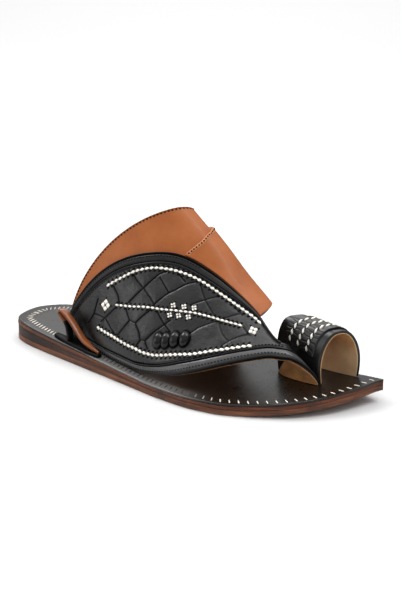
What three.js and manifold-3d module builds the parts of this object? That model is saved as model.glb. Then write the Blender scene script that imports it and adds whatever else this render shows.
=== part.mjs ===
// A right-foot leather sandal with an instep band, a leaf-shaped strap and a toe loop.
// Millimetres. X runs to the toe, Y to the inner side of the foot, Z up from the floor.
import * as THREE from 'three';
import { mergeVertices } from 'three/addons/utils/BufferGeometryUtils.js';
import Module from 'manifold-3d';

// Main sizes of the sandal.
const LENGTH = 290;
const BALL_WIDTH = 100;
const INSTEP_HEIGHT = 114;
const GAP = 0.3;

// Sole layers.
const OUTSOLE_THICK = 4;
const MIDSOLE_THICK = 2.4;
const INSOLE_THICK = 1.6;
const HEEL_LIFT = 8;
const LIFT_FROM = -130;
const LIFT_TO = 0;
const LIFT_END = -6;
const TOE_SPRING = 8.4;
const SPRING_FROM = 60;
const SOLE_CHAMFER = 0.5;
const STATIONS = 34;

// Walls, as distances out from the inner face of the upper.
const BAND_WALL = [0, 1.6];
const LEAF_WALL = [1.3, 2.6];
const LEAF_PANEL_WALL = [2.9, 3.9];
const LEAF_BORDER_WALL = [4.25, 5.0];
const FRONT_BAND_WALL = [2.35, 3.9];

// Leaf border and the ends of the leaf's overlays.
const BORDER_WIDTH = 6;
const BORDER_INSET = 0.8;
const LEAF_COLUMNS = 32;
const PANEL_COLUMNS = 30;
const LEAF_ROWS = 12;
const BORDER_END = 0.905;
const BORDER_START = 0.03;
const BORDER_FLOOR = 1.2;

// Toe loop.
const TOE_LOOP_WALL = [0, 2.4];
const TOE_BAND_WALL = [2.7, 3.7];
const TOE_BAND_SPAN = [0.13, 0.82];
const TOE_BAND_AROUND = [0.13, 0.97];
const TOE_LOOP_IN_ROUND = 2.5;
const TOE_LOOP_BULGE = 0.1;

// Keeper loop at the outer side of the heel, and the tab under it.
const KEEPER_START = [-91, -25.2];
const KEEPER_END = [-50, -33.4];
const KEEPER_WIDTH = 6.6;
const KEEPER_THICK = 2;
const TAB_THICK = 1.8;
const TAB_OUT = 4.3;
const TAB_IN = 3;
const TAB_OVERRUN = 4;

// Knots on the leaf.
const KNOT_LENGTH = 11.6;
const KNOT_WIDTH = 5.7;
const KNOT_HEIGHT = 3;
const KNOT_TILT = 0.25;

const COLOURS = {
  tan: { color: 0xb56b3c, roughness: 0.5, metalness: 0 },
  black: { color: 0x1b1a1a, roughness: 0.4, metalness: 0 },
  footbed: { color: 0x231a16, roughness: 0.35, metalness: 0 },
  outsole: { color: 0x6d4a35, roughness: 0.6, metalness: 0 },
  wedge: { color: 0x46332a, roughness: 0.6, metalness: 0 },
  midsole: { color: 0x7b4c37, roughness: 0.55, metalness: 0 },
};

// Outline of the sole: x in per cent of the length, edges in per cent of the ball width.
const SOLE_EDGE = table(['x', 'outer', 'inner'], [
  [-50.0, -2.0, 3.0],
  [-49.66, -10.0, 9.5],
  [-49.0, -15.2, 14.0],
  [-47.6, -19.8, 19.5],
  [-45.5, -23.0, 25.3],
  [-42.8, -25.6, 30.5],
  [-38.6, -28.2, 34.7],
  [-34.5, -30.3, 36.6],
  [-25.2, -34.5, 38.2],
  [-14.1, -39.5, 39.5],
  [-3.4, -44.5, 42.0],
  [5.2, -48.3, 45.0],
  [13.1, -50.0, 47.6],
  [21.0, -47.5, 50.0],
  [25.5, -43.0, 49.7],
  [31.4, -34.6, 48.4],
  [36.2, -25.9, 46.6],
  [40.3, -15.0, 44.6],
  [44.1, -1.0, 42.4],
  [47.2, 17.0, 40.0],
  [49.3, 32.5, 38.4],
  [50.0, 36.0, 38.0],
]);

// Fan of sections across the foot, from the rear edge of the instep band to the toe post.
// out: foot of the section on the outer side, top: its crest, in: its foot on the inner side.
// x in per cent of the length, y of the ball width, z of the instep height.
const FAN = table(['s', 'outX', 'outY', 'topX', 'topY', 'topZ', 'inX', 'inY'], [
  [0.0, -31.0, -16.0, -5.7, 26.7, 100.0, -27.6, 33.0],
  [0.25, -20.0, -22.5, 5.0, 22.0, 78.7, -15.9, 36.0],
  [0.5, -9.0, -30.0, 12.5, 18.0, 60.5, -2.1, 38.0],
  [0.7, 1.0, -34.5, 21.0, 12.0, 44.7, 13.1, 41.0],
  [0.85, 13.1, -39.0, 26.9, 3.0, 33.7, 26.9, 16.0],
  [1.0, 27.6, -36.0, 32.6, -2.3, 24.5, 37.0, 10.8],
]);

// How each half of a section bends: Full its plan across, Lean its reach to the crest, Rise its height.
const FAN_BEND = table(['s', 'outFull', 'outLean', 'outRise', 'inFull', 'inLean', 'inRise'], [
  [0.0, 0.9, 1.0, 1.17, 0.6, 1.3, 0.75],
  [0.25, 0.9, 0.95, 1.2, 0.6, 1.3, 0.75],
  [0.5, 0.9, 1.15, 1.05, 0.62, 1.3, 0.78],
  [0.7, 0.92, 1.2, 1.1, 0.75, 1.25, 0.9],
  [0.85, 0.95, 1.2, 1.2, 1.0, 1.2, 1.0],
  [1.0, 1.0, 1.2, 1.2, 1.6, 1.2, 1.5],
]);
const CREST_SOFTNESS = 0.2;

// Edges of the leaf strap on that fan, from its heel end (u = 0) to the toe post (u = 1).
const LEAF_EDGE = table(['u', 'lowS', 'lowT', 'highS', 'highT'], [
  [0.0, 0.0, 0.0, 0.011, 0.066],
  [0.06, 0.099, 0.0, 0.032, 0.111],
  [0.12, 0.198, 0.0, 0.052, 0.153],
  [0.25, 0.414, 0.0, 0.099, 0.243],
  [0.38, 0.616, 0.005, 0.167, 0.328],
  [0.5, 0.755, 0.047, 0.256, 0.397],
  [0.62, 0.834, 0.138, 0.417, 0.437],
  [0.72, 0.881, 0.234, 0.569, 0.465],
  [0.8, 0.912, 0.32, 0.68, 0.481],
  [0.87, 0.938, 0.403, 0.785, 0.492],
  [0.92, 0.972, 0.468, 0.857, 0.514],
  [0.95, 0.992, 0.56, 0.872, 0.61],
  [0.975, 1.0, 0.76, 0.86, 0.78],
  [1.0, 1.0, 1.0, 0.815, 1.0],
]);

// Rear and front edge of the front band, from the leaf (across = 0) to the inner side of the sole.
const BAND_EDGE = table(['across', 'rear', 'front'], [
  [0.0, 0.262, 0.709],
  [0.055, 0.232, 0.689],
  [0.1, 0.21, 0.677],
  [0.15, 0.184, 0.665],
  [0.2, 0.163, 0.657],
  [0.32, 0.14, 0.646],
  [1.0, 0.115, 0.63],
]);

// Front edge of the instep band where the leaf covers it.
const COVERED_EDGE = table(['t', 'front'], [
  [0.0, 0.54],
  [0.25, 0.66],
  [0.4, 0.7],
  [0.486, 0.709],
]);

// Toe loop at its front and its rear mouth: inner feet, inner height, and how square its outer half is.
const TOE_LOOP = table(['f', 'outX', 'outY', 'inX', 'inY', 'height', 'outRound'], [
  [0, 108.4, 16.3, 123.6, 36.1, 34, 2.5],
  [1, 69.6, 26.5, 86.3, 43.8, 38.5, 4.6],
]);

// Middle line of the keeper loop: distance along the tab from its start, and height over the tab.
const KEEPER_LINE = table(['along', 'up'], [
  [11.5, 0],
  [11.2, 5],
  [9.4, 10.8],
  [5, 15],
  [1.4, 17.8],
  [3.4, 20.2],
  [8.4, 18.6],
  [14.8, 14.9],
  [20, 10.8],
  [26.3, 5.8],
  [34.8, 2.6],
  [42, 1],
]);

// Places of the four knots on the leaf.
const KNOTS = table(['u', 'v'], [
  [0.535, 0.298],
  [0.563, 0.298],
  [0.592, 0.307],
  [0.624, 0.313],
]);

const wasm = await Module();
wasm.setup();

const soleEdge = smooth(SOLE_EDGE, 'x');
const fan = smooth(FAN, 's');
const fanBend = smooth(FAN_BEND, 's');
const leafEdge = smooth(LEAF_EDGE, 'u');
const leafTop = smooth(LEAF_EDGE.slice(0, 11), 'highS');
const bandEdge = smooth(BAND_EDGE, 'across');
const coveredEdge = smooth(COVERED_EDGE, 't');
const toeLoopFeet = smooth(TOE_LOOP, 'f');

function table(names, rows) {
  return rows.map((row) => Object.fromEntries(names.map((name, i) => [name, row[i]])));
}

function clamp(value, low, high) {
  return Math.min(Math.max(value, low), high);
}

function mix(a, b, share) {
  return a + (b - a) * share;
}

// Slope at each row of a table, flat where the values turn, so that a curve never overshoots.
function rowSlopes(keys, values) {
  const last = keys.length - 1;
  const steps = keys.slice(1).map((key, i) => key - keys[i]);
  const rates = steps.map((step, i) => (values[i + 1] - values[i]) / step);
  const inside = rates.slice(1).map((rate, i) => {
    if (rate * rates[i] <= 0) return 0;
    const a = 2 * steps[i + 1] + steps[i];
    const b = steps[i + 1] + 2 * steps[i];
    return (a + b) / (a / rates[i] + b / rate);
  });
  return [rates[0], ...inside, rates[last - 1]];
}

// A smooth function through the rows of a table: key in, an object of the other columns out.
function smooth(rows, keyName) {
  const keys = rows.map((row) => row[keyName]);
  const names = Object.keys(rows[0]);
  const columns = names.map((name) => rows.map((row) => row[name]));
  const slopes = columns.map((values) => rowSlopes(keys, values));
  return (key) => {
    let i = 0;
    while (i < keys.length - 2 && key > keys[i + 1]) i += 1;
    const step = keys[i + 1] - keys[i];
    const x = clamp((key - keys[i]) / step, 0, 1);
    const values = columns.map((column, c) => {
      const start = column[i] * (1 + 2 * x) * (1 - x) ** 2;
      const end = column[i + 1] * x * x * (3 - 2 * x);
      const leave = slopes[c][i] * step * x * (1 - x) ** 2;
      const arrive = slopes[c][i + 1] * step * x * x * (x - 1);
      return start + end + leave + arrive;
    });
    return Object.fromEntries(names.map((name, c) => [name, values[c]]));
  };
}

// Heights of the sole at x.
function floorLine(x) {
  return TOE_SPRING * Math.max((x - SPRING_FROM) / (LENGTH / 2 - SPRING_FROM), 0) ** 2;
}

function outsoleTop(x) {
  return floorLine(x) + OUTSOLE_THICK;
}

function wedgeTop(x) {
  return outsoleTop(x) + HEEL_LIFT * clamp((LIFT_TO - x) / (LIFT_TO - LIFT_FROM), 0, 1);
}

function midsoleTop(x) {
  return wedgeTop(x) + MIDSOLE_THICK;
}

function insoleTop(x) {
  return midsoleTop(x) + INSOLE_THICK;
}

// Solid from a list of points and triangles, turned so that its faces point out.
function solid(points, triangles) {
  let volume = 0;
  for (const [a, b, c] of triangles) {
    volume += points[a].dot(new THREE.Vector3().crossVectors(points[b], points[c]));
  }
  const faces = volume < 0 ? triangles.map(([a, b, c]) => [a, c, b]) : triangles;
  const geometry = new THREE.BufferGeometry();
  const numbers = points.flatMap((point) => point.toArray());
  geometry.setAttribute('position', new THREE.Float32BufferAttribute(numbers, 3));
  geometry.setIndex(faces.flat());
  return geometry;
}

// Loft through closed sections that all have the same number of points.
function loft(sections) {
  const size = sections[0].length;
  const last = (sections.length - 1) * size;
  const triangles = [];
  for (let i = 0; i < sections.length - 1; i += 1) {
    for (let j = 0; j < size; j += 1) {
      const a = i * size + j;
      const b = i * size + ((j + 1) % size);
      triangles.push([a, b, b + size], [a, b + size, a + size]);
    }
  }
  for (let j = 1; j < size - 1; j += 1) {
    triangles.push([0, j + 1, j], [last, last + j, last + j + 1]);
  }
  return solid(sections.flat(), triangles);
}

// Sheet over a grid of places: an inner and an outer face, closed by walls round its edge.
function sheet(columns, rows, pointAt, wall) {
  const points = [];
  const at = (side, i, j) => (side * (columns + 1) + i) * (rows + 1) + j;
  for (const away of wall) {
    for (let i = 0; i <= columns; i += 1) {
      for (let j = 0; j <= rows; j += 1) points.push(pointAt(i / columns, j / rows, away));
    }
  }
  const triangles = [];
  const quad = (a, b, c, d) => triangles.push([a, b, c], [a, c, d]);
  for (let i = 0; i < columns; i += 1) {
    for (let j = 0; j < rows; j += 1) {
      quad(at(0, i, j), at(0, i, j + 1), at(0, i + 1, j + 1), at(0, i + 1, j));
      quad(at(1, i, j), at(1, i + 1, j), at(1, i + 1, j + 1), at(1, i, j + 1));
    }
    quad(at(0, i, 0), at(0, i + 1, 0), at(1, i + 1, 0), at(1, i, 0));
    quad(at(0, i, rows), at(1, i, rows), at(1, i + 1, rows), at(0, i + 1, rows));
  }
  for (let j = 0; j < rows; j += 1) {
    quad(at(0, 0, j), at(1, 0, j), at(1, 0, j + 1), at(0, 0, j + 1));
    quad(at(0, columns, j), at(0, columns, j + 1), at(1, columns, j + 1), at(1, columns, j));
  }
  return solid(points, triangles);
}

function toManifold(geometry) {
  const merged = mergeVertices(geometry);
  return new wasm.Manifold(new wasm.Mesh({
    numProp: 3,
    vertProperties: new Float32Array(merged.attributes.position.array),
    triVerts: new Uint32Array(merged.index.array),
  }));
}

function fromManifold(manifold) {
  const mesh = manifold.getMesh();
  const geometry = new THREE.BufferGeometry();
  geometry.setAttribute('position', new THREE.Float32BufferAttribute(mesh.vertProperties, 3));
  geometry.setIndex([...mesh.triVerts]);
  return geometry;
}

// Layer of the sole between two height lines, set in from the sole's edge.
function soleLayer(bottomAt, topAt, inset, lastShare = 1) {
  const sections = [];
  const rowCount = SOLE_EDGE.length - 1;
  for (let i = 0; i <= STATIONS; i += 1) {
    const place = (i / STATIONS) * rowCount;
    const row = Math.min(Math.floor(place), rowCount - 1);
    const share = mix(SOLE_EDGE[row].x, SOLE_EDGE[row + 1].x, place - row);
    const edge = soleEdge(Math.min(share, lastShare * 50));
    const x = (edge.x / 100) * LENGTH;
    const outer = (edge.outer / 100) * BALL_WIDTH + inset;
    const inner = (edge.inner / 100) * BALL_WIDTH - inset;
    const low = bottomAt(x);
    const high = topAt(x);
    const cut = Math.min(SOLE_CHAMFER, (inner - outer) * 0.3, (high - low) * 0.3);
    const section = [
      [outer + cut, low], [inner - cut, low], [inner, low + cut], [inner, high - cut],
      [inner - cut, high], [outer + cut, high], [outer, high - cut], [outer, low + cut],
    ];
    sections.push(section.map(([y, z]) => new THREE.Vector3(x, y, z)));
    if (share >= lastShare * 50) break;
  }
  return loft(sections);
}

// Point of the upper's inner face: s along the fan of sections, t across each from outer to inner foot.
function vault(s, t) {
  const row = fan(s);
  const bend = fanBend(s);
  const half = t < 0.5 ? 'out' : 'in';
  const across = Math.cos(Math.PI * t);
  const side = Math.sign(across) * Math.abs(across) ** bend[`${half}Full`];
  const lean = 1 - softSize(across) ** bend[`${half}Lean`];
  const rise = Math.max(Math.sin(Math.PI * t), 0) ** bend[`${half}Rise`];
  const plan = (out, top, into) => {
    const middle = (out + into) / 2;
    return middle - ((into - out) / 2) * side + (top - middle) * lean;
  };
  const x = (plan(row.outX, row.topX, row.inX) / 100) * LENGTH;
  const y = (plan(row.outY, row.topY, row.inY) / 100) * BALL_WIDTH;
  const foot = insoleTop((row[`${half}X`] / 100) * LENGTH) + GAP;
  return new THREE.Vector3(x, y, mix(foot, (row.topZ / 100) * INSTEP_HEIGHT, rise));
}

// Size of a number from 0 to 1, rounded off near 0 so that the crest has no crease.
function softSize(value) {
  const rounded = (size) => Math.hypot(size, CREST_SOFTNESS) - CREST_SOFTNESS;
  return rounded(value) / rounded(1);
}

function vaultNormal(s, t) {
  const step = 0.002;
  const a = clamp(s, step, 1 - step);
  const b = clamp(t, 2 * step, 1 - 2 * step);
  const alongS = vault(a + step, b).sub(vault(a - step, b));
  const alongT = vault(a, b + step).sub(vault(a, b - step));
  return alongS.cross(alongT).normalize();
}

function vaultPoint(s, t, away) {
  return vault(s, t).addScaledVector(vaultNormal(s, t), away);
}

// Front edge of the instep band at t: free on the inner side, covered by the leaf on the outer side.
function bandFront(t) {
  const covered = COVERED_EDGE[COVERED_EDGE.length - 1].t;
  return t < covered ? coveredEdge(t).front : bandEdge((t - covered) / (1 - covered)).front;
}

function instepBand(u, v, away) {
  return vaultPoint(u * bandFront(v), v, away);
}

// Front band: from the leaf's upper edge over the crest to the inner foot.
function frontBand(u, v, away) {
  const edge = bandEdge(v);
  const atLeaf = leafTop(mix(BAND_EDGE[0].rear, BAND_EDGE[0].front, u)).highT + 0.003;
  return vaultPoint(mix(edge.rear, edge.front, u), mix(atLeaf, 1, v), away);
}

function leafPlace(u, v) {
  const edge = leafEdge(u);
  return [mix(edge.lowS, edge.highS, v), mix(edge.lowT, edge.highT, v)];
}

function leafPoint(u, v, away) {
  return vaultPoint(...leafPlace(u, v), away);
}

// Face of the leaf: stops where the strap turns down to the toe, and stays off the floor.
function panelPoint(u, v, away) {
  const along = (u * PANEL_COLUMNS) / LEAF_COLUMNS;
  return leafPoint(along, mix(leafShare(along, 0.4), 1, v), away);
}

// Share of the leaf's height at u that a strip of the given width takes.
function leafShare(u, width) {
  let height = 0;
  for (let i = 0; i < 8; i += 1) {
    height += leafPoint(u, i / 8, 0).distanceTo(leafPoint(u, (i + 1) / 8, 0));
  }
  return width / height;
}

// Border of the leaf: along the upper edge to the heel end, round it, and back along the lower edge.
function borderPoint(w, across, away) {
  const endTurn = 0.06;
  const inset = BORDER_INSET + BORDER_WIDTH * across;
  const start = mix(BORDER_START, BORDER_START + 0.045, across);
  if (Math.abs(w - 0.5) <= endTurn) {
    const low = leafShare(start, inset + BORDER_FLOOR);
    const high = 1 - leafShare(start, inset);
    return leafPoint(start, mix(high, low, (w - 0.5 + endTurn) / (2 * endTurn)), away);
  }
  const upper = w < 0.5;
  const run = (upper ? 0.5 - endTurn - w : w - 0.5 - endTurn) / (0.5 - endTurn);
  const u = mix(start, BORDER_END, run);
  const share = leafShare(u, inset + (upper ? 0 : BORDER_FLOOR));
  return leafPoint(u, upper ? 1 - share : share, away);
}

// Point of the toe loop: f from its front to its rear mouth, a round it from outer to inner foot.
function toeLoopPoint(f, a, away) {
  const row = toeLoopFeet(f);
  const foot = new THREE.Vector2(row.outX, row.outY);
  const half = new THREE.Vector2(row.inX, row.inY).sub(foot).multiplyScalar(0.5);
  const middle = foot.clone().add(half);
  const side = -Math.cos(Math.PI * a);
  const power = 2 / (a < 0.5 ? row.outRound : TOE_LOOP_IN_ROUND);
  const rise = Math.max(Math.sin(Math.PI * a), 0) ** power;
  const swell = 1 + TOE_LOOP_BULGE * Math.sin(Math.PI * Math.min(rise, 1));
  const reach = Math.sign(side) * Math.abs(side) ** power * swell;
  const grown = (half.length() + away) / half.length();
  const plan = middle.addScaledVector(half, reach * grown);
  return new THREE.Vector3(plan.x, plan.y, insoleTop(plan.x) + GAP + (row.height + away) * rise);
}

// Keeper loop: a strap bent along its middle line, as wide as the strap all along.
function keeperLoop() {
  const start = new THREE.Vector2(...KEEPER_START);
  const ahead = new THREE.Vector2(...KEEPER_END).sub(start).normalize();
  const base = TAB_THICK + 2 * GAP;
  const points = KEEPER_LINE.map(({ along, up }) => {
    const plan = start.clone().addScaledVector(ahead, along);
    return new THREE.Vector3(along, 0, insoleTop(plan.x) + base + up);
  });
  const line = new THREE.CatmullRomCurve3(points, false, 'centripetal');
  const sections = [];
  const count = 36;
  for (let i = 0; i <= count; i += 1) {
    const point = line.getPointAt(i / count);
    const tangent = line.getTangentAt(i / count);
    const up = new THREE.Vector2(-tangent.z, tangent.x).multiplyScalar(KEEPER_THICK / 2);
    const corners = [[-1, -1], [1, -1], [1, 1], [-1, 1]];
    sections.push(corners.map(([side, top]) => {
      const along = point.x + up.x * top;
      const plan = start.clone().addScaledVector(ahead, along);
      const across = (side * KEEPER_WIDTH) / 2;
      const floor = insoleTop(plan.x) + base;
      const height = Math.max(point.z + up.y * top, floor);
      return new THREE.Vector3(plan.x - ahead.y * across, plan.y + ahead.x * across, height);
    }));
  }
  return loft(sections);
}

// Tab under the keeper loop, flat on the insole with a rounded back.
function keeperTab() {
  const start = new THREE.Vector2(...KEEPER_START);
  const end = new THREE.Vector2(...KEEPER_END);
  const ahead = end.clone().sub(start).normalize();
  const length = end.distanceTo(start) + 2 * TAB_OVERRUN;
  const sections = [];
  const count = 10;
  for (let i = 0; i <= count; i += 1) {
    const along = mix(-TAB_OVERRUN, length - TAB_OVERRUN, i / count);
    const narrow = 1 - 0.45 * Math.abs((2 * i) / count - 1) ** 4;
    const section = [
      [-TAB_OUT, 0], [TAB_IN, 0], [TAB_IN, 0.7], [TAB_IN - 1, 1], [1 - TAB_OUT, 1], [-TAB_OUT, 0.7],
    ];
    sections.push(section.map(([across, up]) => {
      const plan = start.clone().addScaledVector(ahead, along);
      const side = across * narrow;
      const point = new THREE.Vector2(plan.x - ahead.y * side, plan.y + ahead.x * side);
      return new THREE.Vector3(point.x, point.y, insoleTop(point.x) + GAP + TAB_THICK * up);
    }));
  }
  return loft(sections);
}

// Oval dome that lies on the leaf panel.
function knot({ u, v }) {
  const profile = [[0, 0], [1, 0], [1.02, 0.25], [0.9, 0.62], [0.6, 0.9], [0, 1]];
  const outline = profile.map(([r, h]) => new THREE.Vector2(r, h));
  const geometry = mergeVertices(bare(new THREE.LatheGeometry(outline, 16)));
  geometry.rotateX(Math.PI / 2);
  geometry.scale(KNOT_WIDTH / 2, KNOT_LENGTH / 2, KNOT_HEIGHT);
  geometry.rotateZ(KNOT_TILT);
  const normal = vaultNormal(...leafPlace(u, v));
  const up = leafPoint(u, v + 0.02, 0).sub(leafPoint(u, v - 0.02, 0));
  const side = up.clone().cross(normal).normalize();
  const long = normal.clone().cross(side);
  const seat = leafPoint(u, v, LEAF_PANEL_WALL[1] + 2 * GAP);
  geometry.applyMatrix4(new THREE.Matrix4().makeBasis(side, long, normal).setPosition(seat));
  return geometry;
}

function bare(geometry) {
  geometry.deleteAttribute('normal');
  geometry.deleteAttribute('uv');
  return geometry;
}

const group = new THREE.Group();

function add(name, geometry, colour) {
  geometry.computeVertexNormals();
  const mesh = new THREE.Mesh(geometry, new THREE.MeshStandardMaterial(COLOURS[colour]));
  mesh.name = name;
  group.add(mesh);
}

// Sole, from the floor up.
const lastWedge = LIFT_END / (LENGTH / 2);
add('outsole', soleLayer(floorLine, outsoleTop, 0), 'outsole');
add('heel_wedge', soleLayer(outsoleTop, wedgeTop, 0.4, lastWedge), 'wedge');
add('midsole', soleLayer(wedgeTop, midsoleTop, 0.2), 'midsole');
add('insole', soleLayer(midsoleTop, insoleTop, 0.6), 'footbed');

// Upper: the leaf's wall is joined to the instep band where they cross.
const bandSolid = toManifold(sheet(15, 40, instepBand, BAND_WALL));
const leafSolid = toManifold(sheet(LEAF_COLUMNS, LEAF_ROWS, leafPoint, LEAF_WALL));
add('upper', fromManifold(bandSolid.add(leafSolid)), 'tan');
add('instep_front_band', sheet(12, 24, frontBand, FRONT_BAND_WALL), 'tan');

// Face, border and knots of the leaf.
add('leaf_panel', sheet(PANEL_COLUMNS, LEAF_ROWS, panelPoint, LEAF_PANEL_WALL), 'black');
add('leaf_border', sheet(64, 2, borderPoint, LEAF_BORDER_WALL), 'black');
KNOTS.forEach((place, i) => add(`leaf_knot_${i + 1}`, knot(place), 'black'));

// Toe loop and its raised band.
const bandOnLoop = (u, v, away) => toeLoopPoint(mix(...TOE_BAND_SPAN, u), mix(...TOE_BAND_AROUND, v), away);
add('toe_loop', sheet(5, 26, toeLoopPoint, TOE_LOOP_WALL), 'black');
add('toe_loop_band', sheet(4, 24, bandOnLoop, TOE_BAND_WALL), 'black');

// Keeper loop and tab.
add('side_loop', keeperLoop(), 'tan');
add('side_tab', keeperTab(), 'black');

export default group;
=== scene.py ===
import math

import bmesh
import bpy
import numpy as np
from mathutils import Matrix, Vector, kdtree


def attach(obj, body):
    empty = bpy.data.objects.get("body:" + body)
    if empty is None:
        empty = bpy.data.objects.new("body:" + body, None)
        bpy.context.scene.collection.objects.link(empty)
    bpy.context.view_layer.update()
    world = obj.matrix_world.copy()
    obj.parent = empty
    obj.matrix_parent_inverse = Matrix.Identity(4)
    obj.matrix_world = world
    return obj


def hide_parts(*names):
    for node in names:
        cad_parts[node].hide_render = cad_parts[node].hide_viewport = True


# A right-foot leather sandal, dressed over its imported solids.
# The tables and sizes of the sandal are in millimetres; its meshes are made in metres.
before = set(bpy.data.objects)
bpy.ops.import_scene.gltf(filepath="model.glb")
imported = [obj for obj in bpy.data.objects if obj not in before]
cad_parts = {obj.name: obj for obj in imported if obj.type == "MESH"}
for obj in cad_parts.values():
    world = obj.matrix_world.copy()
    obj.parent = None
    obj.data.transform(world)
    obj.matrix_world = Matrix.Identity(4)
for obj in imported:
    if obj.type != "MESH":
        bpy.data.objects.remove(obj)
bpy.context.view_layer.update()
scene = bpy.context.scene

MM = 0.001
LENGTH = 290.0
BALL_WIDTH = 100.0
INSTEP_HEIGHT = 114.0
GAP = 0.3

# Sole layers.
OUTSOLE_THICK = 4.0
MIDSOLE_THICK = 2.4
INSOLE_THICK = 1.6
HEEL_LIFT = 8.0
LIFT_FROM = -130.0
LIFT_END = -6.0
TOE_SPRING = 8.4
SPRING_FROM = 60.0

# Distances out from the inner face of the upper.
BAND_WALL = (0.0, 1.6)
FRONT_BAND_WALL = (1.7, 3.9)
LEAF_WALL = (1.3, 2.7)
LEAF_FACE = 3.9
BORDER_WIDTH = 8.4

# Outline of the sole: x in per cent of the length, outer and inner edge in per cent of the ball width.
SOLE_EDGE = [
    (-50.0, -2.0, 3.0),
    (-49.66, -10.0, 9.5),
    (-49.0, -15.2, 14.0),
    (-47.6, -19.8, 19.5),
    (-45.5, -23.0, 25.3),
    (-42.8, -25.6, 30.5),
    (-38.6, -28.2, 34.7),
    (-34.5, -30.3, 36.6),
    (-25.2, -34.5, 38.2),
    (-14.1, -39.5, 39.5),
    (-3.4, -44.5, 42.0),
    (5.2, -48.3, 45.0),
    (13.1, -50.0, 47.6),
    (21.0, -47.5, 50.0),
    (25.5, -43.0, 49.7),
    (31.4, -34.6, 48.4),
    (36.2, -25.9, 46.6),
    (40.3, -15.0, 44.6),
    (44.1, -1.0, 42.4),
    (47.2, 17.0, 40.0),
    (49.2, 32.3, 38.1),
    (49.8, 34.8, 37.2),
    (50.0, 35.8, 36.3),
]

# Sections over the foot: s, outer foot x y, crest x y z, inner foot x y, in per cent of the main sizes.
FAN = [
    (0.0, -31.0, -16.0, -5.7, 26.7, 100.0, -27.6, 33.0),
    (0.25, -20.0, -22.5, 5.0, 22.0, 78.7, -15.9, 36.0),
    (0.5, -9.0, -30.0, 12.5, 18.0, 60.5, -2.1, 38.0),
    (0.7, 1.0, -34.5, 21.0, 12.0, 44.7, 13.1, 41.0),
    (0.85, 13.1, -39.0, 26.9, 3.0, 33.7, 26.9, 16.0),
    (1.0, 27.6, -36.0, 32.6, -2.3, 24.5, 37.0, 10.8),
]

# Bend of each half section: s, outer full lean rise, inner full lean rise.
FAN_BEND = [
    (0.0, 0.9, 1.0, 1.17, 0.6, 1.3, 0.75),
    (0.25, 0.9, 0.95, 1.2, 0.6, 1.3, 0.75),
    (0.5, 0.9, 1.15, 1.05, 0.62, 1.3, 0.78),
    (0.7, 0.92, 1.2, 1.1, 0.75, 1.25, 0.9),
    (0.85, 0.95, 1.2, 1.2, 1.0, 1.2, 1.0),
    (1.0, 1.0, 1.2, 1.2, 1.6, 1.2, 1.5),
]
CREST_SOFTNESS = 0.2
CREST_CORNER = 0.54
CREST_TRIM = 0.022
CREST_REACH = 0.04

# Edges of the leaf strap: u, lower edge s t, upper edge s t.
LEAF_EDGE = [
    (0.0, 0.0, 0.0, 0.011, 0.066),
    (0.06, 0.099, 0.0, 0.032, 0.111),
    (0.12, 0.198, 0.0, 0.052, 0.153),
    (0.25, 0.414, 0.0, 0.099, 0.243),
    (0.38, 0.616, 0.005, 0.167, 0.328),
    (0.5, 0.755, 0.047, 0.256, 0.397),
    (0.62, 0.834, 0.138, 0.417, 0.437),
    (0.72, 0.881, 0.234, 0.569, 0.465),
    (0.8, 0.912, 0.32, 0.68, 0.481),
    (0.87, 0.938, 0.403, 0.785, 0.492),
    (0.92, 0.972, 0.468, 0.857, 0.514),
    (0.95, 0.992, 0.56, 0.872, 0.61),
    (0.975, 1.0, 0.76, 0.86, 0.78),
    (1.0, 1.0, 1.0, 0.815, 1.0),
]
# Rows of its upper edge that the front band is fitted to.
LEAF_TOP_ROWS = 11

# Rear and front edge of the front band, by its share of the way from the leaf to the inner foot.
BAND_EDGE = [
    (0.0, 0.262, 0.709),
    (0.055, 0.232, 0.689),
    (0.1, 0.21, 0.677),
    (0.15, 0.184, 0.665),
    (0.2, 0.163, 0.657),
    (0.32, 0.14, 0.646),
    (1.0, 0.115, 0.63),
]
BAND_CLEARANCE = 0.003
COVERED_EDGE = [(0.0, 0.54), (0.25, 0.66), (0.4, 0.7), (0.486, 0.709)]

# Toe loop at its front and rear mouth: share, outer foot x y, inner foot x y, inner height, outer squareness.
TOE_LOOP = [(0.0, 108.4, 16.3, 123.6, 36.1, 34.0, 2.5), (1.0, 69.6, 26.5, 86.3, 43.8, 38.5, 4.6)]
TOE_LOOP_IN_ROUND = 2.5
TOE_LOOP_BULGE = 0.1
TOE_LOOP_WALL = (0.0, 0.6, 2.4)
TOE_BAND_SPAN = (0.13, 0.82)
TOE_BAND_AROUND = (0.13, 0.97)
TOE_BAND_TOP = 3.7
TOE_LACE_ROWS = (0.27, 0.475, 0.67)

# Side loop: ends in plan, and its middle line as distance along and height over the tab.
KEEPER_START = np.array([-91.0, -25.2])
KEEPER_END = np.array([-50.0, -33.4])
KEEPER_WIDTH = 5.6
KEEPER_THICK = 2.0
KEEPER_LINE = [
    (11.5, 0), (11.2, 5), (9.4, 10.8), (5, 15), (1.4, 17.8), (3.4, 20.2),
    (8.4, 18.6), (14.8, 14.9), (20, 10.8), (26.3, 5.8), (35.4, 2.3), (44.4, 0.5),
]
KEEPER_BLACK_SHARE = 0.2
TAB_THICK = 1.8
TAB_OUT = 4.3
TAB_IN = 3.0
TAB_OVERRUN = 4.0

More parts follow.
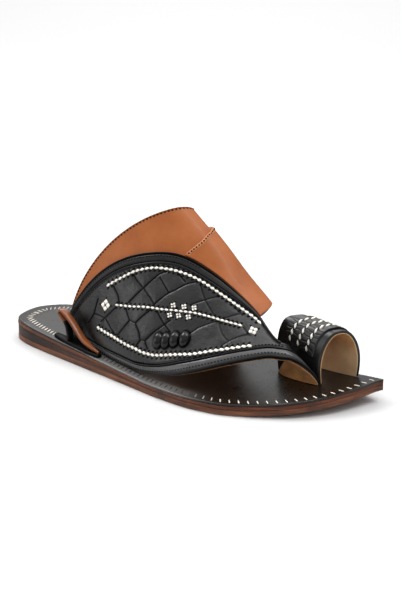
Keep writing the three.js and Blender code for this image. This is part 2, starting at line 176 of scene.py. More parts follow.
# Lacing lines on the leaf: places u v along each.
LACE_UPPER = [
    (0.257, 0.799), (0.316, 0.828), (0.375, 0.864), (0.431, 0.875), (0.499, 0.869),
    (0.584, 0.87), (0.663, 0.857), (0.742, 0.854), (0.834, 0.885),
]
LACE_MIDDLE = [
    (0.317, 0.608), (0.436, 0.561), (0.52, 0.545), (0.581, 0.558),
    (0.636, 0.578), (0.731, 0.601), (0.776, 0.629),
]
LACE_LOWER = [
    (0.215, 0.403), (0.293, 0.318), (0.359, 0.259), (0.418, 0.231), (0.465, 0.195), (0.504, 0.18),
    (0.561, 0.171), (0.635, 0.168), (0.701, 0.195), (0.769, 0.242), (0.823, 0.314),
]

# Each row of lacing: line, pitch or first and last pitch, then length, width and slant of a crossing.
LACE_ROWS = [
    (LACE_UPPER, 3.75, 4.6, 2.9, 0.5),
    (LACE_MIDDLE, (4.2, 3.2), 4.1, 2.5, -0.3),
    (LACE_LOWER, 3.8, 4.7, 3.3, -0.6),
]

# Woven stars: place u v, size, width of an arm, turn, and size of the dark centre.
ROSETTES = [(0.267, 0.623, 9.4, 5.0, 1.3, 1.3), (0.815, 0.648, 7.4, 3.6, 1.0, 0.7)]
SMALL_CROSSES = [(0.56, 0.591), (0.593, 0.603), (0.623, 0.618), (0.559, 0.512), (0.587, 0.52), (0.617, 0.527)]
SMALL_CROSS = (5.2, 2.2, 1.25, 0.5)

KNOTS = [(0.535, 0.298), (0.563, 0.298), (0.592, 0.307), (0.624, 0.313)]
KNOT_LENGTH = 11.6
KNOT_WIDTH = 8.0
KNOT_HEIGHT = 3.9
KNOT_LIFT = 0.25
KNOT_TURN = -0.15

# Creases of the embossed panel: each a run of places u v.
CREASES = [
    [(0.385, 0.61), (0.43, 0.715), (0.465, 0.82), (0.485, 0.85)],
    [
        (0.43, 0.43), (0.483, 0.53), (0.493, 0.575), (0.53, 0.68),
        (0.546, 0.715), (0.568, 0.79), (0.597, 0.856),
    ],
    [(0.475, 0.295), (0.546, 0.42), (0.566, 0.47)],
    [(0.608, 0.63), (0.642, 0.726), (0.678, 0.84)],
    [(0.634, 0.36), (0.656, 0.443), (0.677, 0.5), (0.7, 0.567), (0.75, 0.773)],
    [(0.732, 0.27), (0.75, 0.336), (0.78, 0.45), (0.807, 0.54)],
    [(0.243, 0.465), (0.32, 0.58)],
    [(0.336, 0.32), (0.403, 0.455)],
    [(0.43, 0.25), (0.454, 0.297)],
    [(0.294, 0.773), (0.324, 0.69), (0.338, 0.623)],
    [(0.367, 0.84), (0.43, 0.715), (0.493, 0.575)],
    [
        (0.378, 0.556), (0.403, 0.455), (0.43, 0.43), (0.448, 0.365),
        (0.454, 0.3), (0.475, 0.295), (0.484, 0.23),
    ],
    [(0.51, 0.53), (0.55, 0.43), (0.574, 0.373)],
    [(0.476, 0.793), (0.53, 0.68)],
    [(0.532, 0.844), (0.562, 0.803)],
    [(0.606, 0.837), (0.642, 0.726), (0.683, 0.617)],
    [(0.704, 0.564), (0.729, 0.42), (0.75, 0.336)],
    [(0.27, 0.494), (0.318, 0.326)],
    [(0.782, 0.61), (0.81, 0.524)],
    [(0.708, 0.826), (0.76, 0.777)],
    [(0.16, 0.45), (0.2, 0.56), (0.22, 0.71)],
    [(0.2, 0.56), (0.27, 0.494)],
]

# Stitches and slits: length, width and height of each.
INSOLE_STITCH = (5.4, 0.95, 0.32)
REAR_HOLE = (1.6, 1.4, 0.5)
SEAM_THREAD = (2.6, 2.6, 0.3)
SEAM_HOLE = (1.4, 1.5, 0.75)
BORDER_STITCH = (1.4, 0.9, 0.3)
LACE_SLIT = (2.5, 1.5, 0.2)
STAR_SLIT = (1.6, 1.3, 0.2)
# The slits stand just clear of the swollen face.
SLIT_LIFT = 0.25


# Curves and surfaces.

class Curve:
    """Smooth function through the rows of a table: the first column in, the other columns out."""

    def __init__(self, rows):
        rows = np.array(rows, float)
        self.keys = rows[:, 0]
        self.values = rows[:, 1:]
        self.slopes = self.row_slopes()

    def row_slopes(self):
        step = np.diff(self.keys)[:, None]
        rate = np.diff(self.values, axis=0) / step
        before, after = rate[:-1], rate[1:]
        a = 2 * step[1:] + step[:-1]
        b = step[1:] + 2 * step[:-1]
        same = before * after > 0
        safe_before = np.where(same, before, 1)
        safe_after = np.where(same, after, 1)
        inside = np.where(same, (a + b) / (a / safe_before + b / safe_after), 0)
        return np.concatenate([rate[:1], inside, rate[-1:]])

    def __call__(self, key):
        key = np.asarray(key, float)
        i = np.clip(np.searchsorted(self.keys, key) - 1, 0, len(self.keys) - 2)
        step = (self.keys[i + 1] - self.keys[i])[..., None]
        x = np.clip((key - self.keys[i])[..., None] / step, 0, 1)
        start = self.values[i] * (1 + 2 * x) * (1 - x) ** 2
        end = self.values[i + 1] * x * x * (3 - 2 * x)
        leave = self.slopes[i] * step * x * (1 - x) ** 2
        arrive = self.slopes[i + 1] * step * x * x * (x - 1)
        return start + end + leave + arrive


sole_edge = Curve(SOLE_EDGE)
fan = Curve(FAN)
fan_bend = Curve(FAN_BEND)
leaf_edge = Curve(LEAF_EDGE)
leaf_top = Curve([row[3:] for row in LEAF_EDGE[:LEAF_TOP_ROWS]])
band_edge = Curve(BAND_EDGE)
covered_edge = Curve(COVERED_EDGE)
toe_loop_feet = Curve(TOE_LOOP)


def mix(a, b, share):
    return a + (b - a) * share


def ease(value, start, width):
    """Smooth rise from 0 to 1, over a width from the start on."""
    x = np.clip((value - start) / width, 0, 1)
    return x * x * (3 - 2 * x)


def bell(value, width):
    return np.exp(-((value / width) ** 2))


def unit(vectors):
    return vectors / np.linalg.norm(vectors, axis=-1, keepdims=True)


def axes_on(out, ahead):
    """Axes along, across and out, the first one as near as it can be to the way ahead."""
    across = unit(np.cross(out, ahead))
    return np.stack([np.cross(across, out), across, out], axis=-2)


def lifted(plan, height):
    """Points from their places in plan and their heights."""
    return np.concatenate([plan, height[..., None]], axis=-1)


def passed_length(points):
    """Length of the way from the first point, or row of points, to each."""
    steps = np.linalg.norm(np.diff(points, axis=0), axis=-1)
    return np.concatenate([0 * steps[:1], np.cumsum(steps, axis=0)])


def at_length(wanted, length, rows):
    """Rows of numbers between the given ones, at the wanted lengths of way."""
    return np.stack([np.interp(wanted, length, column) for column in rows.T], axis=-1)


def floor_line(x):
    rise = np.maximum((x - SPRING_FROM) / (LENGTH / 2 - SPRING_FROM), 0)
    return TOE_SPRING * rise ** 2


def outsole_top(x):
    return floor_line(x) + OUTSOLE_THICK


def wedge_top(x):
    return outsole_top(x) + HEEL_LIFT * np.clip(x / LIFT_FROM, 0, 1)


def midsole_top(x):
    return wedge_top(x) + MIDSOLE_THICK


def insole_top(x):
    return midsole_top(x) + INSOLE_THICK


def sole_plan(share):
    """Place x at each per cent of the length, with the outer and the inner edge there."""
    edges = sole_edge(share) / 100 * BALL_WIDTH
    return share / 100 * LENGTH, edges[:, 0], edges[:, 1]


def soft_size(value):
    top = math.hypot(1, CREST_SOFTNESS) - CREST_SOFTNESS
    return (np.hypot(value, CREST_SOFTNESS) - CREST_SOFTNESS) / top


def vault(s, t):
    """Inner face of the upper: s along the fan of sections, t across each from outer to inner foot."""
    s, t = np.broadcast_arrays(s, t)
    row = fan(s)
    bend = fan_bend(s)
    outer = t < 0.5
    full, lean_power, rise_power = (np.where(outer, bend[..., k], bend[..., k + 3]) for k in range(3))
    across = np.cos(np.pi * t)
    side = (np.sign(across) * np.abs(across) ** full)[..., None]
    lean = (1 - soft_size(across) ** lean_power)[..., None]
    rise = np.clip(np.sin(np.pi * t), 0, 1) ** rise_power
    out_foot, top, in_foot = row[..., 0:2], row[..., 2:4], row[..., 5:7]
    middle = (out_foot + in_foot) / 2
    plan = middle - (in_foot - out_foot) / 2 * side + (top - middle) * lean
    plan = plan / 100 * np.array([LENGTH, BALL_WIDTH])
    foot_x = np.where(outer, out_foot[..., 0], in_foot[..., 0]) / 100 * LENGTH
    foot = insole_top(foot_x) + GAP
    height = mix(foot, row[..., 4] / 100 * INSTEP_HEIGHT, rise)
    return lifted(plan, height)


def surface_normal(surface, p, q, step, margin):
    """Unit normal of a surface over p q, by a step to both sides, with q kept a margin from its ends."""
    p, q = np.broadcast_arrays(p, q)
    p = np.clip(p, step, 1 - step)
    q = np.clip(q, margin, 1 - margin)
    along_p = surface(p + step, q) - surface(p - step, q)
    along_q = surface(p, q + step) - surface(p, q - step)
    return unit(np.cross(along_p, along_q))


def vault_normal(s, t):
    return surface_normal(vault, s, t, 0.002, 0.004)


def vault_point(s, t, away):
    away = np.asarray(away, float)[..., None]
    return vault(s, t) + vault_normal(s, t) * away


def leaf_place(u, v):
    """Place s t on the leaf: u from its heel end to its toe end, v from its lower to its upper edge."""
    edge = leaf_edge(u)
    return mix(edge[..., 0], edge[..., 2], v), mix(edge[..., 1], edge[..., 3], v)


def leaf_point(u, v, away):
    return vault_point(*leaf_place(u, v), away)


def leaf_normal(u, v):
    return vault_normal(*leaf_place(u, v))


LEAF_STEPS = np.linspace(0, 1, 201)
LEAF_GRID = leaf_point(LEAF_STEPS, np.linspace(0, 1, 33)[:, None], LEAF_FACE)
LEAF_HEIGHTS = passed_length(LEAF_GRID)[-1]


def leaf_share(u, width):
    """Share of the leaf's height at u that a width in millimetres takes."""
    return width / np.interp(u, LEAF_STEPS, LEAF_HEIGHTS)


def band_front(t):
    """Front edge of the instep band: hidden under the leaf, then under the front band."""
    covered = COVERED_EDGE[-1][0]
    hidden = covered_edge(np.minimum(t, covered))[..., 0]
    free = band_edge(np.maximum(t - covered, 0) / (1 - covered))[..., 1]
    return np.where(t < covered, hidden, free)


def rear_edge(t):
    """Rear edge of the instep band, rounded off a little at the crest."""
    return CREST_TRIM * bell(t - CREST_CORNER, CREST_REACH)


def front_band_place(u, v):
    """Place s t on the front band: u from its rear to its front edge, v from the leaf to the inner foot."""
    edge = band_edge(v)
    at_leaf = leaf_top(mix(*BAND_EDGE[0][1:], u))[..., 0] + BAND_CLEARANCE
    return mix(edge[..., 0], edge[..., 1], u), mix(at_leaf, 1, v)


def toe_loop_point(f, a, away=2.0):
    """Toe loop: f from its front to its rear mouth, a round it from outer to inner foot."""
    f, a, away = np.broadcast_arrays(f, a, away)
    row = toe_loop_feet(f)
    half = (row[..., 2:4] - row[..., 0:2]) / 2
    side = -np.cos(np.pi * a)
    power = 2 / np.where(a < 0.5, row[..., 5], TOE_LOOP_IN_ROUND)
    rise = np.clip(np.sin(np.pi * a), 0, 1) ** power
    swell = 1 + TOE_LOOP_BULGE * np.sin(np.pi * np.minimum(rise, 1))
    reach = np.sign(side) * np.abs(side) ** power * swell
    size = np.linalg.norm(half, axis=-1)
    plan = row[..., 0:2] + half * (1 + reach * (size + away) / size)[..., None]
    height = insole_top(plan[..., 0]) + GAP + (row[..., 4] + away) * rise
    return lifted(plan, height)


def toe_loop_normal(f, a):
    return -surface_normal(toe_loop_point, f, a, 0.004, 0.004)


# Meshes.

def finish_mesh(mesh, sharp_angle):
    work = bmesh.new()
    work.from_mesh(mesh)
    bmesh.ops.recalc_face_normals(work, faces=work.faces)
    work.to_mesh(mesh)
    work.free()
    mesh.polygons.foreach_set("use_smooth", [True] * len(mesh.polygons))
    mesh.set_sharp_from_angle(angle=math.radians(sharp_angle))


def make_piece(name, shape, materials, node=None, shade=(), rest=0.0, sharp=42):
    """One piece of the sandal from a shape: points in millimetres, faces and, for two materials, their sides.

    The shade is the share of a material's second tone at the first points, and rest that at all the others.
    """
    points, faces, *sides = shape
    mesh = bpy.data.meshes.new(name)
    mesh.from_pydata((points * MM).tolist(), [], faces)
    for material in materials:
        mesh.materials.append(material)
    if len(materials) > 1:
        mesh.polygons.foreach_set("material_index", sides[0].astype(np.int32))
    shade = np.ravel(shade)
    values = np.concatenate([shade, np.full(len(points) - len(shade), rest)])
    mesh.attributes.new("shade", "FLOAT", "POINT").data.foreach_set("value", values)
    finish_mesh(mesh, sharp)
    piece = bpy.data.objects.new(name, mesh)
    scene.collection.objects.link(piece)
    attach(piece, "root")
    if node:
        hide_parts(node)
    return piece


def round_edges(piece, width, segments=2):
    bevel = piece.modifiers.new("rounded edges", "BEVEL")
    bevel.width = width * MM
    bevel.segments = segments
    bevel.limit_method = "ANGLE"
    bevel.angle_limit = math.radians(55)
    bevel.harden_normals = False


def grid_of(columns, rows):
    return np.linspace(0, 1, columns)[:, None], np.linspace(0, 1, rows)[None, :]


def grid_quads(columns, rows):
    i, j = np.meshgrid(np.arange(columns - 1), np.arange(rows - 1), indexing="ij")
    a = i * rows + j
    return np.stack([a, a + rows, a + rows + 1, a + 1], axis=-1).reshape(-1, 4)


def ring_quads(rings, size):
    """Faces between closed rings of points."""
    i, j = np.meshgrid(np.arange(rings - 1), np.arange(size), indexing="ij")
    a = i * size + j
    b = i * size + (j + 1) % size
    return np.stack([a, b, b + size, a + size], axis=-1).reshape(-1, 4)


def wall_quads(first, second):
    """Faces between two closed rings, each given by the numbers of its points."""
    return np.stack([first, np.roll(first, -1), np.roll(second, -1), second], axis=-1)


def rim_index(columns, rows):
    """Numbers of the points on a grid's rim, in order round it."""
    place = np.arange(columns * rows).reshape(columns, rows)
    return np.concatenate([place[:, 0], place[-1, 1:], place[-2::-1, -1], place[0, -2:0:-1]])


def sheet_mesh(outer, inner, split=0.5):
    """Closed sheet between two grids, with side 0 for its outer faces and 1 for its inner ones.

    The sides meet on the rim, at a share of the way from the inner to the outer grid.
    """
    columns, rows = outer.shape[:2]
    count = columns * rows
    rim = rim_index(columns, rows)
    ring = 2 * count + np.arange(len(rim))
    outer = outer.reshape(-1, 3)
    inner = inner.reshape(-1, 3)
    points = np.concatenate([outer, inner, mix(inner[rim], outer[rim], split)])
    quads = grid_quads(columns, rows)
    groups = [quads, quads + count, wall_quads(rim, ring), wall_quads(ring, rim + count)]
    sides = np.repeat([0, 1, 0, 1], [len(group) for group in groups])
    return points, np.concatenate(groups).tolist(), sides


def skirt_mesh(outer, inner):
    """Sheet with a wall round it that reaches down to another grid, open below."""
    columns, rows = outer.shape[:2]
    rim = rim_index(columns, rows)
    ring = columns * rows + np.arange(len(rim))
    points = np.concatenate([outer.reshape(-1, 3), inner.reshape(-1, 3)[rim]])
    faces = np.concatenate([grid_quads(columns, rows), wall_quads(rim, ring)])
    return points, faces.tolist()


def loft_mesh(sections):
    """Closed loft through sections of equal size, with flat ends."""
    count, size = sections.shape[:2]
    first = list(range(size))
    last = list(range((count - 1) * size, count * size))
    return sections.reshape(-1, 3), [*ring_quads(count, size).tolist(), first, last]


def ring_shape(x, y, z):
    """Open shape from the coordinates of its rings."""
    points = np.stack(np.broadcast_arrays(x, y, z), axis=-1)
    return points.reshape(-1, 3), ring_quads(*points.shape[:2])


class Cluster:
    """Many small copies of local shapes, gathered into one mesh."""

    def __init__(self):
        self.points = []
        self.faces = []
        self.shade = []

    def add(self, shape, origin, axes, shade=0.0):
        points, faces = shape
        self.faces.extend((faces + len(self.shade)).tolist())
        self.points.append(origin + points @ axes)
        self.shade += [shade] * len(points)

    def piece(self, name, material, slot=None, node=None):
        shape = (np.concatenate(self.points), self.faces)
        make_piece(name, shape, [material], node, self.shade, sharp=60)


def lozenge(length, width, slant, height):
    """Padded four-sided crossing of lace that lies along x, with a low skirt."""
    steps = 9
    skirt = 0.3
    p, q = grid_of(steps, steps)
    left = np.array([-length / 2, 0.0])
    top = np.array([slant, width / 2])
    flat = left + p[..., None] * (top - left) + q[..., None] * (-top - left)
    swell = (np.sin(np.pi * p) * np.sin(np.pi * q)) ** 0.16
    return lifted(flat, height * swell - skirt).reshape(-1, 3), grid_quads(steps, steps)


def pill(length, width, height):
    """Rounded stitch that lies along x, half sunk."""
    angle = np.linspace(0, 2 * np.pi, 8, endpoint=False)
    x = -np.cos(np.linspace(0, np.pi, 9))[:, None]
    size = np.clip(1 - np.abs(x) ** 3, 0, 1) ** 0.5
    size[[0, -1]] = 0.12
    return ring_shape(x * length / 2, size * np.cos(angle) * width / 2, size * np.sin(angle) * height)


def vault_line(place, span, away):
    """Line over the upper, as a function that gives points and normals at shares of its span.

    Place gives s t at each value of the span.
    """
    def line(share):
        s, t = place(mix(*span, share))
        return vault_point(s, t, away), vault_normal(s, t)

    return line


def even_shares(points, pitches):
    """Shares along a line of points that lie one pitch apart, with the pitch at each step given."""
    steps = np.linalg.norm(np.diff(points, axis=0), axis=-1) / pitches
    passed = np.concatenate([[0], np.cumsum(steps)])
    count = max(int(round(passed[-1])), 1)
    wanted = (np.arange(count) + 0.5) * passed[-1] / count
    return np.interp(wanted, passed, np.linspace(0, 1, len(points)))


def line_frames(line, pitch):
    """Points one pitch apart on a line, each paired with its axes along, across and out.

    A pair of pitches is the first and the last one, with an even change between them.
    """
    reach = 0.002
    samples = 600
    points, _ = line(np.linspace(0, 1, samples))
    share = even_shares(points, np.linspace(*np.broadcast_to(pitch, 2), samples - 1))
    points, out = line(share)
    ahead, _ = line(np.clip(share + reach, 0, 1))
    behind, _ = line(np.clip(share - reach, 0, 1))
    return zip(points, axes_on(out, ahead - behind))


def stitch_line(cluster, line, pitch, size):
    shape = pill(*size)
    for point, axes in line_frames(line, pitch):
        cluster.add(shape, point, axes)


def turned(axes, angle):
    """Axes turned about their third axis."""
    cos, sin = math.cos(angle), math.sin(angle)
    turn = np.array([[cos, sin, 0], [-sin, cos, 0], [0, 0, 1]])
    return turn @ axes


def waves(points, size, depth, seed):
    """Slow random swell over a surface, from a few sine waves."""
    rng = np.random.default_rng(seed)
    total = np.zeros(points.shape[:-1])
    for _ in range(6):
        direction = unit(rng.normal(size=3))
        rate = 2 * np.pi / size * rng.uniform(0.6, 1.6)
        start = rng.uniform(0, 6.3)
        total += np.sin(points @ direction * rate + start)
    return depth * total / 3


# Materials.

# Texture scales of the leather's patterns, and the places of its three tones in a noise.
MOTTLE = 35.0
SWELL = 70.0
WEAR = 150.0
CRUMPLE = 360.0
TONE_STOPS = (0.3, 0.5, 0.72)

# Places of the two colours and of the mixed one among the sockets of a mix node.
MIX_FIRST = 6
MIX_SECOND = 7
MIX_RESULT = 2


def fill_inputs(tree, node, inputs):
    """Give each input a number or a colour, or link it to the output of another node."""
    for key, value in inputs.items():
        target = node.inputs[key]
        if isinstance(value, bpy.types.NodeSocket):
            tree.links.new(value, target)
        elif target.type == "RGBA":
            target.default_value = (*value, 1)
        else:
            target.default_value = value


def add_node(tree, kind, wanted, inputs, **settings):
    """The wanted output of a new node."""
    made = tree.nodes.new(kind)
    for key, value in settings.items():
        setattr(made, key, value)
    fill_inputs(tree, made, inputs)
    return made.outputs[wanted]


class Shader:
    """Short way to wire the nodes of one material."""

    def __init__(self, name):
        self.material = bpy.data.materials.new(name)
        self.material.use_nodes = True
        self.tree = self.material.node_tree
        self.place = self.node("ShaderNodeTexCoord", "Object", {})

    def node(self, kind, wanted, inputs, **settings):
        return add_node(self.tree, kind, wanted, inputs, **settings)

    def surface(self, inputs):
        fill_inputs(self.tree, self.tree.nodes["Principled BSDF"], inputs)

    def stretched(self, scale):
        return self.node("ShaderNodeMapping", "Vector", {"Vector": self.place, "Scale": scale})

    def noise(self, scale, detail=4.0, rough=0.55, place=None):
        inputs = {"Vector": place or self.place, "Scale": scale, "Detail": detail, "Roughness": rough}
        return self.node("ShaderNodeTexNoise", "Fac", inputs)

    def cells(self, scale):
        return self.node("ShaderNodeTexVoronoi", "Distance", {"Vector": self.place, "Scale": scale})

    def ramp(self, value, stops, tones):
        made = self.tree.nodes.new("ShaderNodeValToRGB")
        ends = made.color_ramp.elements
        while len(ends) < len(stops):
            ends.new(0.5)
        for end, position, tone in zip(ends, stops, tones):
            end.position = position
            end.color = (*tone, 1)
        fill_inputs(self.tree, made, {"Fac": value})
        return made.outputs["Color"]

    def span(self, value, low, high, from_low=0.3, from_high=0.7):
        inputs = {"Value": value, "From Min": from_low, "From Max": from_high, "To Min": low, "To Max": high}
        return self.node("ShaderNodeMapRange", "Result", inputs)

    def blend(self, share, first, second):
        inputs = {"Factor": share, MIX_FIRST: first, MIX_SECOND: second}
        return self.node("ShaderNodeMix", MIX_RESULT, inputs, data_type="RGBA")

    def shaded(self, first, second):
        """The first tone, turned to the second one where the piece's shade is set."""
        shade = self.node("ShaderNodeAttribute", "Fac", {}, attribute_name="shade")
        return self.blend(shade, first, second)

    def bumps(self, *layers):
        """Bump from (height, distance in millimetres) layers, one on the other."""
        inputs = {"Strength": 1.0}
        for height, distance in layers:
            inputs.update({"Height": height, "Distance": distance * MM})
            inputs["Normal"] = self.node("ShaderNodeBump", "Normal", inputs)
        return inputs["Normal"]


def leather(name, tones, second, rough, gloss, grain, grain_depth, mottle=MOTTLE, swell=0.12):
    """Smooth leather: slow colour change, fine grain, pores, and a dull second tone where shade is set."""
    shader = Shader(name)
    tone = shader.ramp(shader.noise(mottle, 5.0, 0.6), TONE_STOPS, tones)
    normal = shader.bumps(
        (shader.noise(SWELL, 2.0), swell),
        (shader.noise(CRUMPLE, 4.0, 0.6), swell * 0.55),
        (shader.cells(grain), grain_depth),
        (shader.noise(grain * 0.6, 3.0, 0.6), grain_depth * 0.5),
    )
    shader.surface({
        "Base Color": shader.shaded(tone, second),
        # Where shade is set the reflection is taken away as well, so that painted shade in creases, grooves
        # and holes reads dark.
        "Specular Tint": shader.shaded((1, 1, 1), (0, 0, 0)),
        "Roughness": shader.span(shader.noise(WEAR, 6.0, 0.7), *rough),
        "Specular IOR Level": gloss,
        "Normal": normal,
    })
    return shader


def tan_leather(name, level, rough, gloss):
    tones = level * np.array([(0.255, 0.068, 0.015), (0.3, 0.086, 0.021), (0.345, 0.106, 0.03)])
    return leather(name, tones, (0.1, 0.028, 0.009), rough, gloss, 1400.0, 0.02).material


def black_leather(name, tone, rough, gloss, swell=0.12):
    tones = [(level * tone,) * 3 for level in (0.75, 1.0, 1.3)]
    return leather(name, tones, (0.002,) * 3, rough, gloss, 1500.0, 0.018, swell=swell).material


def glossy_black():
    tones = [(level,) * 3 for level in (0.002, 0.003, 0.004)]
    return leather("polished black leather", tones, (0.001,) * 3, (0.1, 0.2), 0.3, 900.0, 0.006).material


def lining_leather():
    tones = ((0.26, 0.112, 0.031), (0.42, 0.19, 0.06), (0.56, 0.28, 0.1))
    shader = leather("beige lining", tones, (0.62, 0.47, 0.29), (0.65, 0.85), 0.25, 1100.0, 0.05, 70.0)
    shader.surface({"Sheen Weight": 0.1, "Sheen Roughness": 0.6})
    return shader.material


def insole_leather():
    """Polished dark leather with a slow swell and faint scuffs, turned grey where shade is set: dust and a
    painted sheen.
    """
    shader = Shader("insole leather")
    tones = ((0.003, 0.002, 0.0015), (0.0045, 0.003, 0.0022), (0.0075, 0.0048, 0.0036))
    tone = shader.ramp(shader.noise(28.0, 5.0, 0.6), TONE_STOPS, tones)
    shader.surface({
        "Base Color": shader.shaded(tone, (0.1, 0.098, 0.095)),
        "Roughness": shader.span(shader.noise(60.0, 6.0, 0.7), 0.22, 0.4),
        "Specular IOR Level": 0.4,
        "Normal": shader.bumps((shader.noise(45.0, 2.0), 0.1), (shader.noise(900.0, 2.0), 0.006)),
    })
    return shader.material


def sole_leather(name, *tones):
    """Burnished cut edge: thin layers that run along the sole, with dark stains."""
    shader = Shader(name)
    deep = np.array(tones[0])
    layers = shader.noise(1.0, 6.0, 0.65, shader.stretched((22.0, 22.0, 620.0)))
    tone = shader.ramp(layers, (0.3, 0.5, 0.7), tones)
    stains = shader.span(shader.noise(55.0, 6.0, 0.7), 0.0, 0.8, 0.42, 0.68)
    stained = shader.blend(stains, tone, 0.3 * (deep + deep[0]))
    shader.surface({
        "Base Color": shader.shaded(stained, 0.2 * deep),
        "Roughness": shader.span(layers, 0.42, 0.68),
        "Specular IOR Level": 0.2,
        "Normal": shader.bumps((layers, 0.25), (shader.noise(900.0, 3.0), 0.05)),
    })
    return shader.material


def thread(name, low, high, gloss=0.35):
    shader = Shader(name)
    tone = shader.ramp(shader.noise(260.0, 3.0), (0.35, 0.65), (low, high))
    shader.surface({
        "Base Color": shader.shaded(tone, (0.012, 0.011, 0.01)),
        "Roughness": 0.6,
        "Specular IOR Level": gloss,
        "Normal": shader.bumps((shader.noise(1600.0, 2.0), 0.06)),
    })
    return shader.material


TAN = tan_leather("tan leather", 1.0, (0.36, 0.5), 0.22)
TAN_STRAP = tan_leather("polished tan leather", 0.75, (0.14, 0.26), 0.5)
BLACK = black_leather("black leather", 0.004, (0.26, 0.4), 0.4)
PANEL = black_leather("embossed black leather", 0.006, (0.2, 0.42), 0.42, 0.45)
# The binding's tone is lighter than the other black leathers, a painted light on its lower run; its upper run
# is turned darker through the shade, a painted shade.
BORDER = black_leather("binding leather", 0.045, (0.24, 0.36), 0.42, 0.25)
TAB = black_leather("tab leather", 0.002, (0.3, 0.45), 0.05)
GLOSS = glossy_black()
LINING = lining_leather()
INSOLE = insole_leather()
OUTSOLE_EDGE = sole_leather(
    "outsole edge", (0.065, 0.024, 0.013), (0.14, 0.054, 0.029), (0.27, 0.115, 0.064),
)
WEDGE_EDGE = sole_leather(
    "wedge edge", (0.03, 0.016, 0.011), (0.065, 0.032, 0.022), (0.13, 0.062, 0.042),
)
MIDSOLE_EDGE = sole_leather(
    "midsole edge", (0.05, 0.016, 0.008), (0.115, 0.036, 0.017), (0.21, 0.075, 0.036),
)
WHITE = thread("white lacing", (0.76, 0.72, 0.64), (0.88, 0.85, 0.79))
CREAM_THREAD = thread("cream thread", (0.6, 0.55, 0.47), (0.78, 0.74, 0.66))
BROWN_THREAD = thread("brown thread", (0.026, 0.009, 0.004), (0.05, 0.017, 0.007), 0.04)
TAN_THREAD = thread("tan thread", (0.4, 0.15, 0.055), (0.52, 0.21, 0.085), 0.3)
# Black thread with almost no reflection: the border stitches, the lace slits and the stars' centres read as
# dark holes, a painted shade in the openings.
BLACK_THREAD = thread("black thread", (0.002,) * 3, (0.005,) * 3, 0.04)


# Sole.

SOLE_STEPS = 8
TOP_STEPS = 28
SOLE_END = 50.0
HEEL_STAIN = 0.75
HEEL_STAIN_AT = -118.0
HEEL_STAIN_REACH = 30.0

# Grey strip on the insole, partly dust and partly a painted sheen, as start and width of each fade: in from
# the edge, and along the waist.
DUST_SHEEN_INWARD = (6.0, 8.0)
DUST_SHEEN_FROM = (-60.0, 14.0)
DUST_SHEEN_TO = (15.0, 45.0)


def sole_stations(last=SOLE_END):
    """Places along the sole in per cent, at even steps between the rows of its outline."""
    keys = sole_edge.keys
    steps = np.arange((len(keys) - 1) * SOLE_STEPS + 1) / SOLE_STEPS
    stations = np.interp(steps, np.arange(len(keys)), keys)
    return np.append(stations[stations < last], last)


def sole_section(x, outer, inner, low, high, corner):
    """Points round one section: flat bottom, rounded corners and a top with many points."""
    bend = np.linspace(0, np.pi / 2, 4)
    cut = min(corner, (inner - outer) * 0.3, (high - low) * 0.45)
    side = cut * (1 - np.sin(bend))
    rise = cut * (1 - np.cos(bend))
    top = np.linspace(inner - cut, outer + cut, TOP_STEPS)[1:-1]
    y = np.concatenate([outer + side[::-1], inner - side, inner - side[::-1], top, outer + side])
    z = np.concatenate([low + rise[::-1], low + rise, high - rise[::-1], high + 0 * top, high - rise])
    return np.column_stack([x + 0 * y, y, z])


def heel_stain(points):
    """Dark patch on the outside of the heel."""
    return HEEL_STAIN * bell(points[:, 0] - HEEL_STAIN_AT, HEEL_STAIN_REACH)


def waist_dust_and_sheen(points):
    """Grey strip along the outer edge of the waist: worn dust, and a painted sheen of the bright backdrop."""
    x, outer, _ = sole_plan(points[:, 0] / LENGTH * 100)
    strip = 1 - ease(points[:, 1] - outer, *DUST_SHEEN_INWARD)
    return strip * ease(x, *DUST_SHEEN_FROM) * (1 - ease(x, *DUST_SHEEN_TO))


def sole_layer(node, material, span, inset, corner, last=SOLE_END, shade=None):
    """Layer of the sole between two heights, which the span gives as functions of x."""
    bottom, top = span
    x, outer, inner = sole_plan(sole_stations(last))
    rows = zip(x, outer + inset, inner - inset, bottom(x), top(x))
    shape = loft_mesh(np.array([sole_section(*row, corner) for row in rows]))
    worn = shade(shape[0]) if shade else ()
    make_piece(f"{node}_leather", shape, [material], node, worn, sharp=35)


def build_sole():
    wedge = (outsole_top, wedge_top)
    wedge_end = LIFT_END / LENGTH * 100
    sole_layer("outsole", OUTSOLE_EDGE, (floor_line, outsole_top), 0.0, 0.7)
    sole_layer("heel_wedge", WEDGE_EDGE, wedge, 0.35, 0.3, wedge_end, heel_stain)
    sole_layer("midsole", MIDSOLE_EDGE, (wedge_top, midsole_top), 0.1, 0.6)
    sole_layer("insole", INSOLE, (midsole_top, insole_top), 0.5, 0.7, shade=waist_dust_and_sheen)


# Insole stitches by x: inset from the edge, pitch, and how dark the outer ones are painted, mostly as shade
# under the leaf strap.
STITCH_INSET = Curve([(-145, 9.5), (-120, 8.0), (-80, 6.0), (0, 5.5), (100, 5.5), (145, 5.0)])
STITCH_PITCH = Curve([(-145, 3.2), (-60, 3.8), (20, 4.6), (60, 6.2), (145, 6.6)])
STITCH_PAINTED_SHADE = Curve([
    (-145, 0.35), (-125, 0.1), (-95, 0.15), (-66, 0.6), (-45, 0.98),
    (35, 0.98), (52, 0.6), (68, 0.1), (145, 0.0),
])
# The inner ones, under the upper, get an even painted shade.
INNER_STITCH_SHADE = 0.45
LAST_INNER_STITCH = 60.0
STITCH_MARGIN = 6.0
STITCH_LEAN = 0.33
STITCH_LIFT = 0.02


